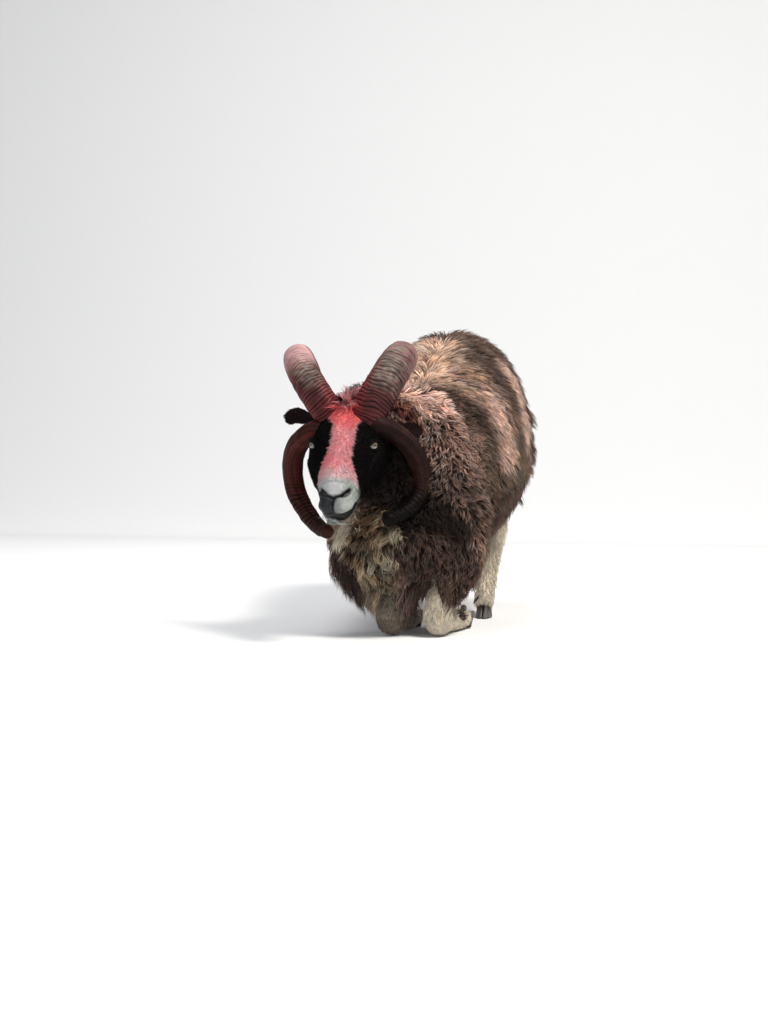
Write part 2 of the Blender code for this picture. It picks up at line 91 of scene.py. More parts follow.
def tube(rows, ring, power=2.2, up=None, side=None, bulge=(0.0, 0.0), cup=0.0):
    # An oval carried along a path: each row is x, y, z, half width, depth above and below.
    # The ends are rounded by bulge, and cup curls each oval like a leaf. With neither up
    # nor side the ovals stay upright.
    rows = np.array(rows, float)
    ahead = unit(np.gradient(rows[:, :3], axis=0))
    if up is None and side is None:
        ahead = np.zeros_like(ahead) + [0, math.copysign(1, ahead[0, 1]), 0]
        beside, above = np.zeros_like(ahead) + [1, 0, 0], np.zeros_like(ahead) + [0, 0, 1]
    else:
        rough = np.cross(side, ahead) if up is None else np.zeros_like(ahead) + up
        beside = unit(np.cross(ahead, rough))
        above = np.cross(beside, ahead)
    first = capRows(rows[0], -ahead[0], bulge[0])[::-1]
    last = capRows(rows[-1], ahead[-1], bulge[1])
    rows = np.vstack([first, rows, last])
    beside, above = (np.pad(v, ((len(first), len(last)), (0, 0)), "edge") for v in (beside, above))
    across, height = ovalRing(ring, power)
    half = rows[:, 3, None]
    lift = np.where(height > 0, rows[:, 4, None], rows[:, 5, None]) * height
    lift = lift + cup * half * (across ** 2 - 0.5)
    return (rows[:, None, :3] + (half * across)[..., None] * beside[:, None]
            + lift[..., None] * above[:, None])


def surface(name, points, *faceSets):  # a mesh object from arrays, turned to face outwards
    first = np.concatenate([f[:, :3] for f in faceSets] + [f[:, [0, 2, 3]] for f in faceSets
                                                           if f.shape[1] == 4])
    a, b, c = points[first[:, 0]], points[first[:, 1]], points[first[:, 2]]
    if np.einsum("ij,ij->i", a - points.mean(0), np.cross(b - a, c - a)).sum() < 0:
        faceSets = [f[:, ::-1] for f in faceSets]
    corners = np.concatenate([f.ravel() for f in faceSets]).astype(np.int32)
    sizes = np.concatenate([np.full(len(f), f.shape[1]) for f in faceSets])
    mesh = bpy.data.meshes.new(name)
    mesh.vertices.add(len(points))
    mesh.vertices.foreach_set("co", (points + middle).astype(np.float32).ravel())
    mesh.loops.add(len(corners))
    mesh.loops.foreach_set("vertex_index", corners)
    mesh.polygons.add(len(sizes))
    mesh.polygons.foreach_set("loop_start", (np.cumsum(sizes) - sizes).astype(np.int32))
    mesh.update(calc_edges=True)
    mesh.shade_smooth()
    made = bpy.data.objects.new(name, mesh)
    bpy.context.scene.collection.objects.link(made)
    return made


def closedGrid(name, grid):  # a grid of rings as a closed surface, a fan of triangles at each end
    count, ring = grid.shape[:2]
    points = np.vstack([grid.reshape(-1, 3), grid[0].mean(0), grid[-1].mean(0)])
    i, j = np.arange(count - 1)[:, None] * ring, np.arange(ring)
    k = (j + 1) % ring
    quads = np.stack([i + j, i + k, i + ring + k, i + ring + j], -1).reshape(-1, 4)
    last = (count - 1) * ring
    fans = np.vstack([np.stack([j * 0 + count * ring, k, j], -1),
                      np.stack([j * 0 + count * ring + 1, last + j, last + k], -1)])
    return surface(name, points, quads, fans)


def evaluated(name, source):  # a plain copy of what source's modifiers make, in its place
    graph = bpy.context.evaluated_depsgraph_get()
    mesh = bpy.data.meshes.new_from_object(source.evaluated_get(graph))
    bpy.data.objects.remove(source)
    mesh.name = name
    made = bpy.data.objects.new(name, mesh)
    bpy.context.scene.collection.objects.link(made)
    return made


def readArrows(mesh, field):  # three numbers of each vertex
    found = np.empty(len(mesh.vertices) * 3, np.float32)
    mesh.vertices.foreach_get(field, found)
    return found.reshape(-1, 3).astype(float)


def places(mesh):  # vertex positions, from the point between the knees
    return readArrows(mesh, "co") - middle


def setColour(mesh, name, values):  # a colour for each vertex
    layer = mesh.color_attributes.new(name, "FLOAT_COLOR", "POINT")
    full = np.ones((len(mesh.vertices), 4), np.float32)
    full[:, :3] = values
    layer.data.foreach_set("color", full.ravel())


def setNumber(mesh, name, values):  # a number for each vertex
    layer = mesh.attributes.new(name, "FLOAT", "POINT")
    layer.data.foreach_set("value", np.asarray(values, np.float32).ravel())


def setArrow(mesh, name, values):  # three numbers for each vertex
    layer = mesh.attributes.new(name, "FLOAT_VECTOR", "POINT")
    layer.data.foreach_set("vector", np.asarray(values, np.float32).ravel())


# the head's own directions: across to its left, along the face to the muzzle, and above it

headPose = {
    "poll": np.array([-0.142, -0.105, 0.545]),
    "yaw": math.radians(-0.5),
    "pitch": math.radians(45.0),
}


def headAxes():  # across, along and above, one row each
    yaw, pitch = headPose["yaw"], headPose["pitch"]
    across = np.array([math.cos(yaw), math.sin(yaw), 0])
    along = np.array([math.sin(yaw) * math.cos(pitch), -math.cos(yaw) * math.cos(pitch),
                      -math.sin(pitch)])
    return np.array([across, along, np.cross(along, across)])


def fromHead(spots):  # places in the ram, from head directions
    return headPose["poll"] + np.asarray(spots, float) @ headAxes()


def toHead(points):  # head directions, from places in the ram
    return (points - headPose["poll"]) @ headAxes().T


# the fleshy body, inside the wool: the same named sizes as the solids, less the coat's depth

fleece = {
    "depth": 0.030,        # how far the coat stands over the skin of trunk and neck
    "legDepth": 0.020,
    "voxel": 0.0085,
}
trunkStations = [  # y, x of the middle, top, widest height, bottom, half width
    (0.845, 0.002, 0.620, 0.49, 0.370, 0.085), (0.790, 0.002, 0.705, 0.48, 0.285, 0.168),
    (0.700, 0.001, 0.752, 0.46, 0.238, 0.212), (0.560, 0.000, 0.732, 0.43, 0.205, 0.232),
    (0.410, -0.002, 0.686, 0.40, 0.178, 0.238), (0.270, -0.006, 0.640, 0.37, 0.150, 0.224),
    (0.180, -0.014, 0.618, 0.35, 0.130, 0.198), (0.090, -0.024, 0.607, 0.33, 0.110, 0.186),
    (0.025, -0.032, 0.540, 0.29, 0.098, 0.178), (-0.028, -0.044, 0.375, 0.24, 0.104, 0.154),
    (-0.066, -0.056, 0.300, 0.22, 0.138, 0.116),
]
neckStations = [  # x, y, z of the middle, half width, depth above, depth below
    (-0.020, 0.200, 0.400, 0.165, 0.205, 0.190), (-0.045, 0.120, 0.420, 0.155, 0.195, 0.190),
    (-0.078, 0.050, 0.440, 0.140, 0.180, 0.170), (-0.112, -0.010, 0.455, 0.110, 0.162, 0.140),
    (-0.132, -0.052, 0.470, 0.080, 0.135, 0.100),
]
haunch = [(0.120, 0.640, 0.500, 0.102, 0.150, 0.130), (0.140, 0.585, 0.400, 0.088, 0.130, 0.120),
          (0.142, 0.560, 0.320, 0.066, 0.085, 0.085), (0.138, 0.555, 0.265, 0.046, 0.052, 0.052)]
legWool = {  # outward, y, z, half width, depth in front and behind
    "forelegLeft": [
        (0.104, 0.060, 0.300, 0.084, 0.090, 0.095), (0.098, 0.036, 0.205, 0.078, 0.076, 0.085),
        (0.088, 0.020, 0.140, 0.068, 0.062, 0.068), (0.080, 0.010, 0.096, 0.055, 0.048, 0.052)],
    "forelegRight": [
        (0.140, 0.070, 0.300, 0.088, 0.085, 0.090), (0.128, 0.036, 0.220, 0.088, 0.080, 0.088),
        (0.092, 0.018, 0.148, 0.068, 0.062, 0.066), (0.066, 0.008, 0.100, 0.043, 0.044, 0.048)],
    "hindlegLeft": haunch,
    "hindlegRight": haunch,
}
tailRows = [(0.012, 0.825, 0.585, 0.040, 0.030, 0.030), (0.012, 0.868, 0.500, 0.050, 0.034, 0.036),
            (0.012, 0.872, 0.400, 0.050, 0.034, 0.036), (0.012, 0.862, 0.330, 0.034, 0.026, 0.026)]
purseRows = [(0.0, 0.560, 0.290, 0.050, 0.045, 0.045), (0.0, 0.560, 0.225, 0.044, 0.042, 0.042),
             (0.0, 0.560, 0.165, 0.052, 0.045, 0.045), (0.0, 0.558, 0.130, 0.040, 0.036, 0.036)]
knees = {"left": np.array([0.061, 0.004, 0.033]), "right": np.array([-0.056, 0.000, 0.033])}
foldTurns = {"left": math.radians(13.0), "right": math.radians(10.0)}
hindFeet = {"left": np.array([0.122, 0.385, 0.0]), "right": np.array([-0.118, 0.455, 0.0])}
cannonLength = 0.125


def thinner(rows, depth):  # the same ovals with the coat's depth taken off, at most two fifths
    rows = np.array(rows, float)
    rows[:, 3:6] -= np.minimum(depth, 0.42 * rows[:, 3:6])
    return rows


def outward(rows, side):  # stations whose first number is outward, on one side
    return np.array(rows, float) * [sideSigns[side], 1, 1, 1, 1, 1]


def bodyForms():  # the tubes that flow into one another: trunk, neck, upper legs and tail
    trunk = [(x, y, wide, half, top - wide, wide - low)
             for y, x, top, wide, low, half in trunkStations]
    deep = fleece["depth"]
    forms = {
        "trunk": tube(through(thinner(trunk, deep), 8), 56, 2.05, bulge=(0.022, 0.020)),
        "neck": tube(through(thinner(neckStations, deep), 8), 48, 2.1, bulge=(0.02, 0.012)),
        "tail": tube(through(thinner(tailRows, 0.012), 6), 20, up=(0, -1, 0), bulge=(0.02, 0.018)),
    }
    for name, rows in legWool.items():
        side = "left" if name.endswith("Left") else "right"
        rows = through(thinner(outward(rows, side), fleece["legDepth"]), 6)
        forms[name] = tube(rows, 28, up=(0, -1, 0), bulge=(0.03, 0.012))
    return forms


def fleshBody(forms):  # the forms as one smooth body
    grids = [closedGrid("form", grid) for grid in forms.values()]
    for piece in grids[1:]:
        piece.select_set(True)
    with bpy.context.temp_override(active_object=grids[0], selected_editable_objects=grids):
        bpy.ops.object.join()
    body = grids[0]
    whole = body.modifiers.new("oneBody", "REMESH")
    whole.mode = "VOXEL"
    whole.voxel_size = fleece["voxel"]
    blend = body.modifiers.new("soften", "SMOOTH")
    blend.factor = 0.5
    blend.iterations = 7
    return evaluated("body", body)


print("tools ready")

# the head: a face profile carried along the head, then raised and sunk by its features

headProfile = [  # along, top, bottom, half width, where it is widest
    (-0.060, -0.032, -0.110, 0.050, -0.070), (-0.030, 0.001, -0.135, 0.067, -0.068),
    (0.000, 0.013, -0.151, 0.078, -0.072), (0.040, 0.0125, -0.163, 0.086, -0.077),
    (0.080, 0.012, -0.161, 0.090, -0.077), (0.118, 0.006, -0.146, 0.083, -0.074),
    (0.155, -0.002, -0.130, 0.068, -0.070), (0.190, -0.010, -0.127, 0.0515, -0.066),
    (0.217, -0.018, -0.130, 0.0425, -0.068), (0.236, -0.026, -0.128, 0.0385, -0.071),
]
muzzle = {"reach": 0.0385, "drop": -0.058, "chinBack": 0.36}
eyePlace = np.array([0.067, 0.084, -0.032])
headGrid = {"steps": 24, "ring": 176, "front": 34}
faceLines = {  # in head directions, for both sides
    "nostril": [(0.0308, 0.2180, -0.0400), (0.0295, 0.2235, -0.0400), (0.0262, 0.2300, -0.0392),
                (0.0190, 0.2385, -0.0366), (0.0109, 0.2450, -0.0330), (0.0, 0.2525, -0.0300)],
    "philtrum": [(0.0, 0.2525, -0.0300), (0.0, 0.2640, -0.0370), (0.0, 0.2700, -0.0465),
                 (0.0, 0.2740, -0.0605)],
    "mouth": [(0.0, 0.2740, -0.0605), (0.011, 0.2715, -0.0625), (0.0245, 0.2660, -0.0645),
              (0.0335, 0.2560, -0.0690), (0.0380, 0.2400, -0.0765), (0.0415, 0.2140, -0.0865),
              (0.0430, 0.1970, -0.0930)],
}
# each feature: a path in head directions (mirrored by side), its width, and how far it stands out
faceFeatures = [
    (faceLines["nostril"], 0.0034, -0.0070),
    ([(0.0286, 0.2245, -0.0400), (0.0205, 0.2365, -0.0372)], 0.0056, -0.0110),  # nostril
    ([(0.0370, 0.2170, -0.0480), (0.0345, 0.2290, -0.0485), (0.0250, 0.2420, -0.0460)], 0.0050, 0.0026),
    ([(0.0, 0.2140, -0.0130), (0.016, 0.2140, -0.0165), (0.029, 0.2120, -0.0250)], 0.0035, -0.0010),
    ([(0.0, 0.2320, -0.0210), (0.012, 0.2300, -0.0220)], 0.0110, 0.0022),       # nose pad
    (faceLines["philtrum"], 0.0023, -0.0042),
    ([(0.015, 0.2600, -0.0500), (0.026, 0.2460, -0.0620)], 0.0115, 0.0034),     # upper lip
    (faceLines["mouth"], 0.0026, -0.0064),
    ([(0.0, 0.2680, -0.0700), (0.017, 0.2600, -0.0770), (0.029, 0.2400, -0.0900)], 0.0058, 0.0020),
    ([(0.0, 0.2520, -0.0960), (0.010, 0.2420, -0.1050)], 0.0150, 0.0028),       # chin
    ([(0.046, 0.0560, -0.0040), (0.062, 0.0740, -0.0110), (0.072, 0.0880, -0.0190)], 0.0095, 0.0058),
    ([(0.077, 0.0880, -0.0340)], 0.0250, -0.0098),                              # eye socket
    ([(0.084, 0.1150, -0.0560), (0.071, 0.1480, -0.0620), (0.056, 0.1800, -0.0640)], 0.0095, 0.0036),
    ([(0.068, 0.1140, -0.0420), (0.058, 0.1400, -0.0480)], 0.0042, -0.0024),    # tear groove
    ([(0.080, 0.0550, -0.1050), (0.074, 0.0900, -0.1100)], 0.0300, 0.0040),     # jaw muscle
    ([(0.048, 0.1620, -0.0280), (0.041, 0.1930, -0.0330)], 0.0140, -0.0028),    # beside the nose bone
    ([(0.0, 0.0600, 0.0120), (0.0, 0.1300, 0.0040)], 0.0200, 0.0012),           # Roman nose
    ([(0.046, 0.1940, -0.1000), (0.060, 0.1500, -0.1100)], 0.0120, -0.0020),    # behind the mouth
]


def distanceTo(points, path):  # from each point to the nearest place on a path of straight runs
    path = np.array(path, float)
    if len(path) == 1:
        return np.linalg.norm(points - path[0], axis=-1)
    best = np.full(points.shape[:-1], 1e9)
    for a, b in zip(path[:-1], path[1:]):
        share = np.clip(((points - a) @ (b - a)) / ((b - a) @ (b - a)), 0, 1)
        best = np.minimum(best, np.linalg.norm(points - a - share[..., None] * (b - a), axis=-1))
    return best


def gridNormals(grid):  # outward normals of a closed grid of rings
    down = np.gradient(grid, axis=0)
    across = np.roll(grid, -1, 1) - np.roll(grid, 1, 1)
    found = unit(np.cross(across, down))
    middleLine = grid.mean(1, keepdims=True)
    return found * np.sign(((grid - middleLine) * found).sum(-1).mean())


def headSurface():
    # Sections square to the face, closed by a blunt front and a round back. Returns the
    # grid without its features, and the grid with them.
    rows = through(headProfile, headGrid["steps"])
    turn = np.linspace(0, math.radians(87), headGrid["front"] + 1)[1:, None]
    last = rows[-1]
    close = np.cos(turn) ** 0.72
    front = np.hstack([last[0] + muzzle["reach"] * np.sin(turn),
                       mix(muzzle["drop"], last[1], close), mix(muzzle["drop"], last[2], close),
                       last[3] * close, mix(muzzle["drop"], last[4], close)])
    turn = np.linspace(0, math.radians(86), 13)[1:, None]
    back = np.hstack([rows[0, 0] - 0.02 * np.sin(turn), mix(-0.07, rows[0, 1:3], np.cos(turn)),
                      rows[0, 3] * np.cos(turn), turn * 0 + rows[0, 4]])
    rows = np.vstack([back[::-1], rows, front])
    across, height = ovalRing(headGrid["ring"], 2.12)
    lift = np.where(height > 0, rows[:, 1, None] - rows[:, 4, None],
                    rows[:, 4, None] - rows[:, 2, None]) * height
    grid = np.stack([rows[:, 3, None] * across, rows[:, 0, None] + 0 * lift,
                     rows[:, 4, None] + lift], -1)
    under = np.maximum(0, muzzle["drop"] - grid[..., 2]) * ease(0.20, 0.26, grid[..., 1])
    grid[..., 1] -= muzzle["chinBack"] * under
    normals = gridNormals(grid)
    mirrored = grid.copy()
    mirrored[..., 0] = np.abs(mirrored[..., 0])
    stand = np.zeros(grid.shape[:2])
    flat = mirrored.reshape(-1, 3)
    for path, width, amount in faceFeatures:
        onSkin = [flat[np.linalg.norm(flat - spot, axis=1).argmin()] for spot in np.array(path)]
        stand += amount * np.exp(-(distanceTo(mirrored, onSkin) / width) ** 2)
    stand += 0.0007 * ripple(grid, 0.045, 4)
    return grid, grid + normals * stand[..., None]


plainHead, fullHead = headSurface()


def finishedPath(path):  # a path given on the plain face, as it lies on the finished one
    flat = plainHead.reshape(-1, 3)
    nearest = [np.linalg.norm(flat - spot, axis=1).argmin() for spot in np.array(path)]
    return fullHead.reshape(-1, 3)[nearest]


eyeLook = {
    "radius": 0.0142,
    "axis": unit(np.array([0.80, 0.47, 0.37])),    # where the eye looks: across, along, above
    "slit": (0.0142, 0.0072),                      # half width and half height of the lids' opening
    "lid": 0.0021,                                 # half a lid's thickness
    "band": 0.0052,                                # half a lid's breadth
    "clear": (0.0150, 0.0100),                     # half width and height that hair leaves free
}


def eyeFrame(side):  # the eye's middle, its axis, and the level and upright directions across it
    sign = np.array([sideSigns[side], 1, 1])
    centre = fromHead(eyePlace * sign)
    axis = (eyeLook["axis"] * sign) @ headAxes()
    slit = unit(np.cross([0, 0, 1.0], axis))
    tilt = math.radians(16) * sideSigns[side]
    rise = np.cross(axis, slit)
    return centre, axis, slit, rise, math.cos(tilt) * slit + math.sin(tilt) * rise


def lidSurface(side, upper):  # a soft band over the eye, its inner edge an almond arc
    centre, axis, _, _, slit = eyeFrame(side)
    rise = np.cross(axis, slit)
    rise = rise if rise[2] > 0 else -rise
    wide, high = eyeLook["slit"]
    thick, broad = eyeLook["lid"], eyeLook["band"]
    t = np.linspace(-1, 1, 44)
    sign = 1 if upper else -1
    across = wide * 1.10 * t
    lift = sign * (high * (1 if upper else 0.8) * (1 - t ** 2) ** 0.8 + broad * 0.80)
    reach = eyeLook["radius"] + thick * 0.35
    depth = np.sqrt(np.maximum(reach ** 2 - across ** 2 * 0.80 - lift ** 2, 1e-5))
    path = centre + across[:, None] * slit + lift[:, None] * rise + depth[:, None] * axis
    size = np.c_[broad * (0.75 + 0.25 * (1 - t ** 2)), thick + 0 * t, thick + 0 * t]
    return tube(np.hstack([path, size]), 16, 2.0, up=unit(path - centre), bulge=(0.003, 0.003))


earPaths = {  # outward, back and up from the poll
    "left": [(0.066, 0.004, -0.040), (0.090, 0.034, -0.048), (0.116, 0.060, -0.051),
             (0.138, 0.078, -0.052), (0.153, 0.087, -0.051), (0.162, 0.091, -0.050)],
    "right": [(0.068, 0.002, -0.034), (0.090, 0.038, -0.026), (0.114, 0.064, -0.022),
              (0.138, 0.084, -0.018), (0.157, 0.092, -0.022), (0.166, 0.096, -0.026)],
}
earSizes = {"halves": [0.0120, 0.0130, 0.0170, 0.0205, 0.0175, 0.0100], "thick": 0.0028, "cup": 0.55}


def fromPoll(path, side):  # places given outward, back and up from the poll
    return headPose["poll"] + np.array(path, float) * [sideSigns[side], 1, 1]


def earSurface(side):  # a cupped leaf along its path, thick at the root
    path = fromPoll(earPaths[side], side)
    thick = earSizes["thick"] + np.array([0.0035, 0.0015, 0, 0, 0, -0.0008])
    rows = np.hstack([path, np.c_[earSizes["halves"]], np.c_[thick], np.c_[thick]])
    return tube(through(rows, 9), 26, 2.0, up=(0.0, -0.9, 0.3), bulge=(0.004, 0.004),
                cup=earSizes["cup"])


def foldWay(side):  # the way the folded forefoot points along the ground
    return np.array([math.sin(foldTurns[side]), math.cos(foldTurns[side]), 0])


def forelegSurface(side):  # knee, and the cannon and pastern folded back along the ground
    sign, knee, back = sideSigns[side], knees[side], foldWay(side)
    fetlock, pastern = knee + back * cannonLength, knee + back * (cannonLength + 0.040)
    rows = [(knee[0] + 0.014 * sign, knee[1] + 0.020, 0.170, 0.027, 0.028, 0.028),
            (knee[0] + 0.007 * sign, knee[1] + 0.010, 0.115, 0.027, 0.029, 0.029),
            (knee[0] + 0.001 * sign, knee[1] - 0.001, 0.070, 0.0305, 0.033, 0.031),
            (knee[0], knee[1] + 0.004, knee[2], 0.0300, 0.0330, 0.031),
            (*(knee + back * 0.035)[:2], 0.027, 0.0240, 0.0245, 0.0235),
            (*(knee + back * 0.080)[:2], 0.024, 0.0190, 0.0215, 0.0205),
            (*fetlock[:2], 0.025, 0.0240, 0.0250, 0.0240),
            (*pastern[:2], 0.025, 0.0222, 0.0210, 0.0215)]
    grid = tube(through(rows, 9), 40, 2.1, side=np.cross(back, [0, 0, 1.0]), bulge=(0.01, 0.006))
    grid[..., 2] = np.maximum(grid[..., 2], 0.0006)
    return grid


def hindlegSurface(side):  # hock, cannon and pastern
    sign, (x, y, _) = sideSigns[side], hindFeet[side]
    rows = [(x + 0.019 * sign, y + 0.155, 0.330, 0.031, 0.047, 0.043),
            (x + 0.018 * sign, y + 0.155, 0.275, 0.026, 0.033, 0.035),
            (x + 0.017 * sign, y + 0.150, 0.235, 0.024, 0.029, 0.033),
            (x + 0.014 * sign, y + 0.122, 0.190, 0.020, 0.022, 0.022),
            (x + 0.008 * sign, y + 0.088, 0.135, 0.018, 0.0195, 0.0195),
            (x, y + 0.056, 0.085, 0.0238, 0.0235, 0.0245),
            (x, y + 0.030, 0.055, 0.0215, 0.0195, 0.0215),
            (x, y + 0.010, 0.033, 0.0218, 0.0200, 0.0220)]
    return tube(through(rows, 9), 40, 2.1, up=(0, -1, 0), bulge=(0.01, 0.003))


def unite(name, base, others):  # one closed surface from overlapping ones
    for other in others:
        step = base.modifiers.new("unite", "BOOLEAN")
        step.operation = "UNION"
        step.solver = "MANIFOLD"
        step.object = other
    made = evaluated(name, base)
    for other in others:
        bpy.data.objects.remove(other)
    return made


def makeSkin():
    # One closed surface, and a number for each vertex that tells the part it belongs to:
    # the part whose own surface, read sparsely, is nearest.
    forms = bodyForms()
    added = {"head": fromHead(fullHead)}
    for side in sideSigns:
        added |= {f"lidUpper_{side}": lidSurface(side, True),
                  f"lidLower_{side}": lidSurface(side, False),
                  f"ear_{side}": earSurface(side), f"foreleg_{side}": forelegSurface(side),
                  f"hindleg_{side}": hindlegSurface(side)}
    added["purse"] = tube(through(thinner(purseRows, 0.006), 6), 24, up=(0, -1, 0),
                          bulge=(0.02, 0.020))
    made = unite("skin", fleshBody(forms), [closedGrid(name, grid)
                                            for name, grid in added.items()])
    everyPart = forms | added
    sparse = [grid[::3, ::3].reshape(-1, 3) for grid in everyPart.values()]
    owner = np.concatenate([np.full(len(spots), i) for i, spots in enumerate(sparse)])
    nearest = nearestOf(places(made.data), np.concatenate(sparse))
    return made, owner[nearest], list(everyPart)


def nearestOf(points, others):  # for each point, which of the others is nearest
    points, others = points.astype(np.float32), others.astype(np.float32)
    size = (others ** 2).sum(1)
    return np.concatenate([(size - 2 * part @ others.T).argmin(1)
                           for part in np.array_split(points, max(1, len(points) // 2000))])


skin, skinPart, partNames = makeSkin()
skin.data.shade_smooth()
fleshNodes = ["trunk", "neck", "head", "tail", "scrotum", "foreleg_left", "foreleg_right",
              "hindleg_left", "hindleg_right", "ear_left", "ear_right"]
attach(skin, "root")
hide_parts(*fleshNodes)
print("skin:", len(skin.data.polygons), "faces")

# horns: two that rise and curl back, two that curl down beside the cheeks

hornLook = {
    "upper": {"sweep": math.radians(138.0), "ring": 0.0082, "groove": 0.0022, "wave": 0.55,
              "smooth": (0.30, 0.60)},   # the rings wear down between these shares of its length
    "side": {"radius": 0.0245, "ring": 0.0100, "groove": 0.0009, "wave": 0.30,
             "smooth": (0.66, 0.52)},    # smooth at the root, ringed towards the tip
    "rows": 330,
    "round": 56,
}
upperHorns = {  # radius, radius of the arc, lean outward, drift outward as it curls back
    "left": (0.0446, 0.136, math.radians(30.0), -0.06),
    "right": (0.0387, 0.144, math.radians(36.0), -0.12),
}
sideHorns = {  # outward, back and up from the poll
    "left": [(0.030, -0.004, -0.040), (0.076, 0.008, -0.036), (0.124, 0.045, -0.068),
             (0.155, 0.076, -0.116), (0.167, 0.084, -0.165), (0.159, 0.066, -0.210),
             (0.133, 0.024, -0.243), (0.104, -0.026, -0.256)],
    "right": [(0.030, -0.004, -0.046), (0.078, 0.006, -0.049), (0.126, 0.045, -0.082),
              (0.148, 0.078, -0.134), (0.142, 0.084, -0.196), (0.109, 0.056, -0.247),
              (0.070, 0.012, -0.279), (0.042, -0.028, -0.288)],
}


def upperHornRows(side):  # centre = base + (rise sin turn + back (1 - cos turn)) times the arc
    sign = sideSigns[side]
    radius, arc, lean, drift = upperHorns[side]
    base = fromHead((0.046 * sign, -0.006, -0.018))
    rise = unit(np.array([math.sin(lean) * sign, -0.05, math.cos(lean)]))
    back = unit(np.array([drift, 1.0, 0.10]))
    share = np.linspace(-0.06, 1, hornLook["rows"])[:, None]
    turn = hornLook["upper"]["sweep"] * share
    centre = base + (rise * np.sin(turn) + back * (1 - np.cos(turn))) * arc
    size = radius * (1 - 0.62 * np.maximum(share, 0) ** 4)
    return np.hstack([centre, size * 0.98, size * 1.05, size * 1.05]), np.cross(rise, back)


def sideHornRows(side):  # the curve through its stations, read evenly, thinning to the tip
    path = through(fromPoll(sideHorns[side], side), 40)
    far = np.r_[0, np.cumsum(np.linalg.norm(np.diff(path, axis=0), axis=1))]
    even = np.linspace(0, far[-1], hornLook["rows"])
    path = np.stack([np.interp(even, far, path[:, k]) for k in range(3)], -1)
    share = np.linspace(0, 1, len(path))[:, None]
    size = hornLook["side"]["radius"] * (1 - 0.35 * share ** 3)
    size = size * mix(0.6, 1.0, ease(0.0, 0.12, share))
    return np.hstack([path, size * 0.97, size * 1.06, size * 1.06])


def ringedHorn(grid, look, seed):
    # Narrow wavy grooves at every whole number of rings along the horn, closer at its root,
    # with shallow creases between them and long fine splits; they fade where the horn is
    # worn smooth. Returns the grid, and how deep each point lies.
    middleLine = grid.mean(1, keepdims=True)
    arm = grid - middleLine
    long = np.r_[0, np.cumsum(np.linalg.norm(np.diff(middleLine[:, 0], axis=0), axis=1))][:, None]
    share = long / long.max()
    turn = np.linspace(0, twoPi, grid.shape[1], endpoint=False)[None]
    chance = np.random.default_rng(seed)
    a, b, c = chance.uniform(0, twoPi, 3)
    rings = (long / look["ring"] * (1.22 - 0.30 * share) + look["wave"] * np.sin(turn + a)
             + 0.40 * look["wave"] * np.sin(3 * turn + b + long * 21)
             + 0.75 * look["wave"] * ripple(grid, 0.045, seed))
    groove = (0.5 + 0.5 * np.cos(twoPi * rings)) ** 2.2
    crease = (0.5 + 0.5 * np.cos(twoPi * rings * 3 + 2 * ripple(grid, 0.03, seed + 1))) ** 2
    uneven = (0.70 + 0.25 * np.sin(twoPi * 0.31 * rings + c) + 0.25 * ripple(grid, 0.03, seed + 4))
    split = np.exp(-(np.sin(9 * turn + 1.5 * ripple(grid, 0.05, seed + 2)) / 0.18) ** 2)
    fade = ease(0.0, 0.02, long) * ease(0.0, 0.018, long.max() - long)
    kept = 1 - 0.72 * ease(*look["smooth"], share + 0.10 * ripple(grid, 0.05, seed + 7))
    depth = fade * (groove * uneven.clip(0.2, 1.2) * kept + 0.16 * crease * kept + 0.08 * split)
    size = np.linalg.norm(arm, axis=-1)
    worn = 0.0009 * ripple(grid, 0.028, seed + 3)
    size = size + (worn - look["groove"] * depth)
    return middleLine + unit(arm) * np.maximum(size, 0.0004)[..., None], depth


dyes = {"red": (0.26, 0.014, 0.016), "pink": (0.44, 0.250, 0.245)}
hornTones = {  # crest and groove at the root, crest and groove farther on, worn face (on the side horns, the tone of the painted rim highlight)
    "upper": [(0.034, 0.010, 0.009), (0.005, 0.001, 0.001), (0.150, 0.070, 0.066),
              (0.042, 0.016, 0.015), (0.140, 0.125, 0.098)],
    "side": [(0.012, 0.005, 0.004), (0.003, 0.0015, 0.0015), (0.016, 0.007, 0.005),
             (0.004, 0.002, 0.0015), (0.050, 0.032, 0.024)],
}


def withPoles(values):  # one more value for each end's pole of a closed grid
    flat = values.reshape(-1, values.shape[-1])
    return np.vstack([flat, values[0].mean(0), values[-1].mean(0)])


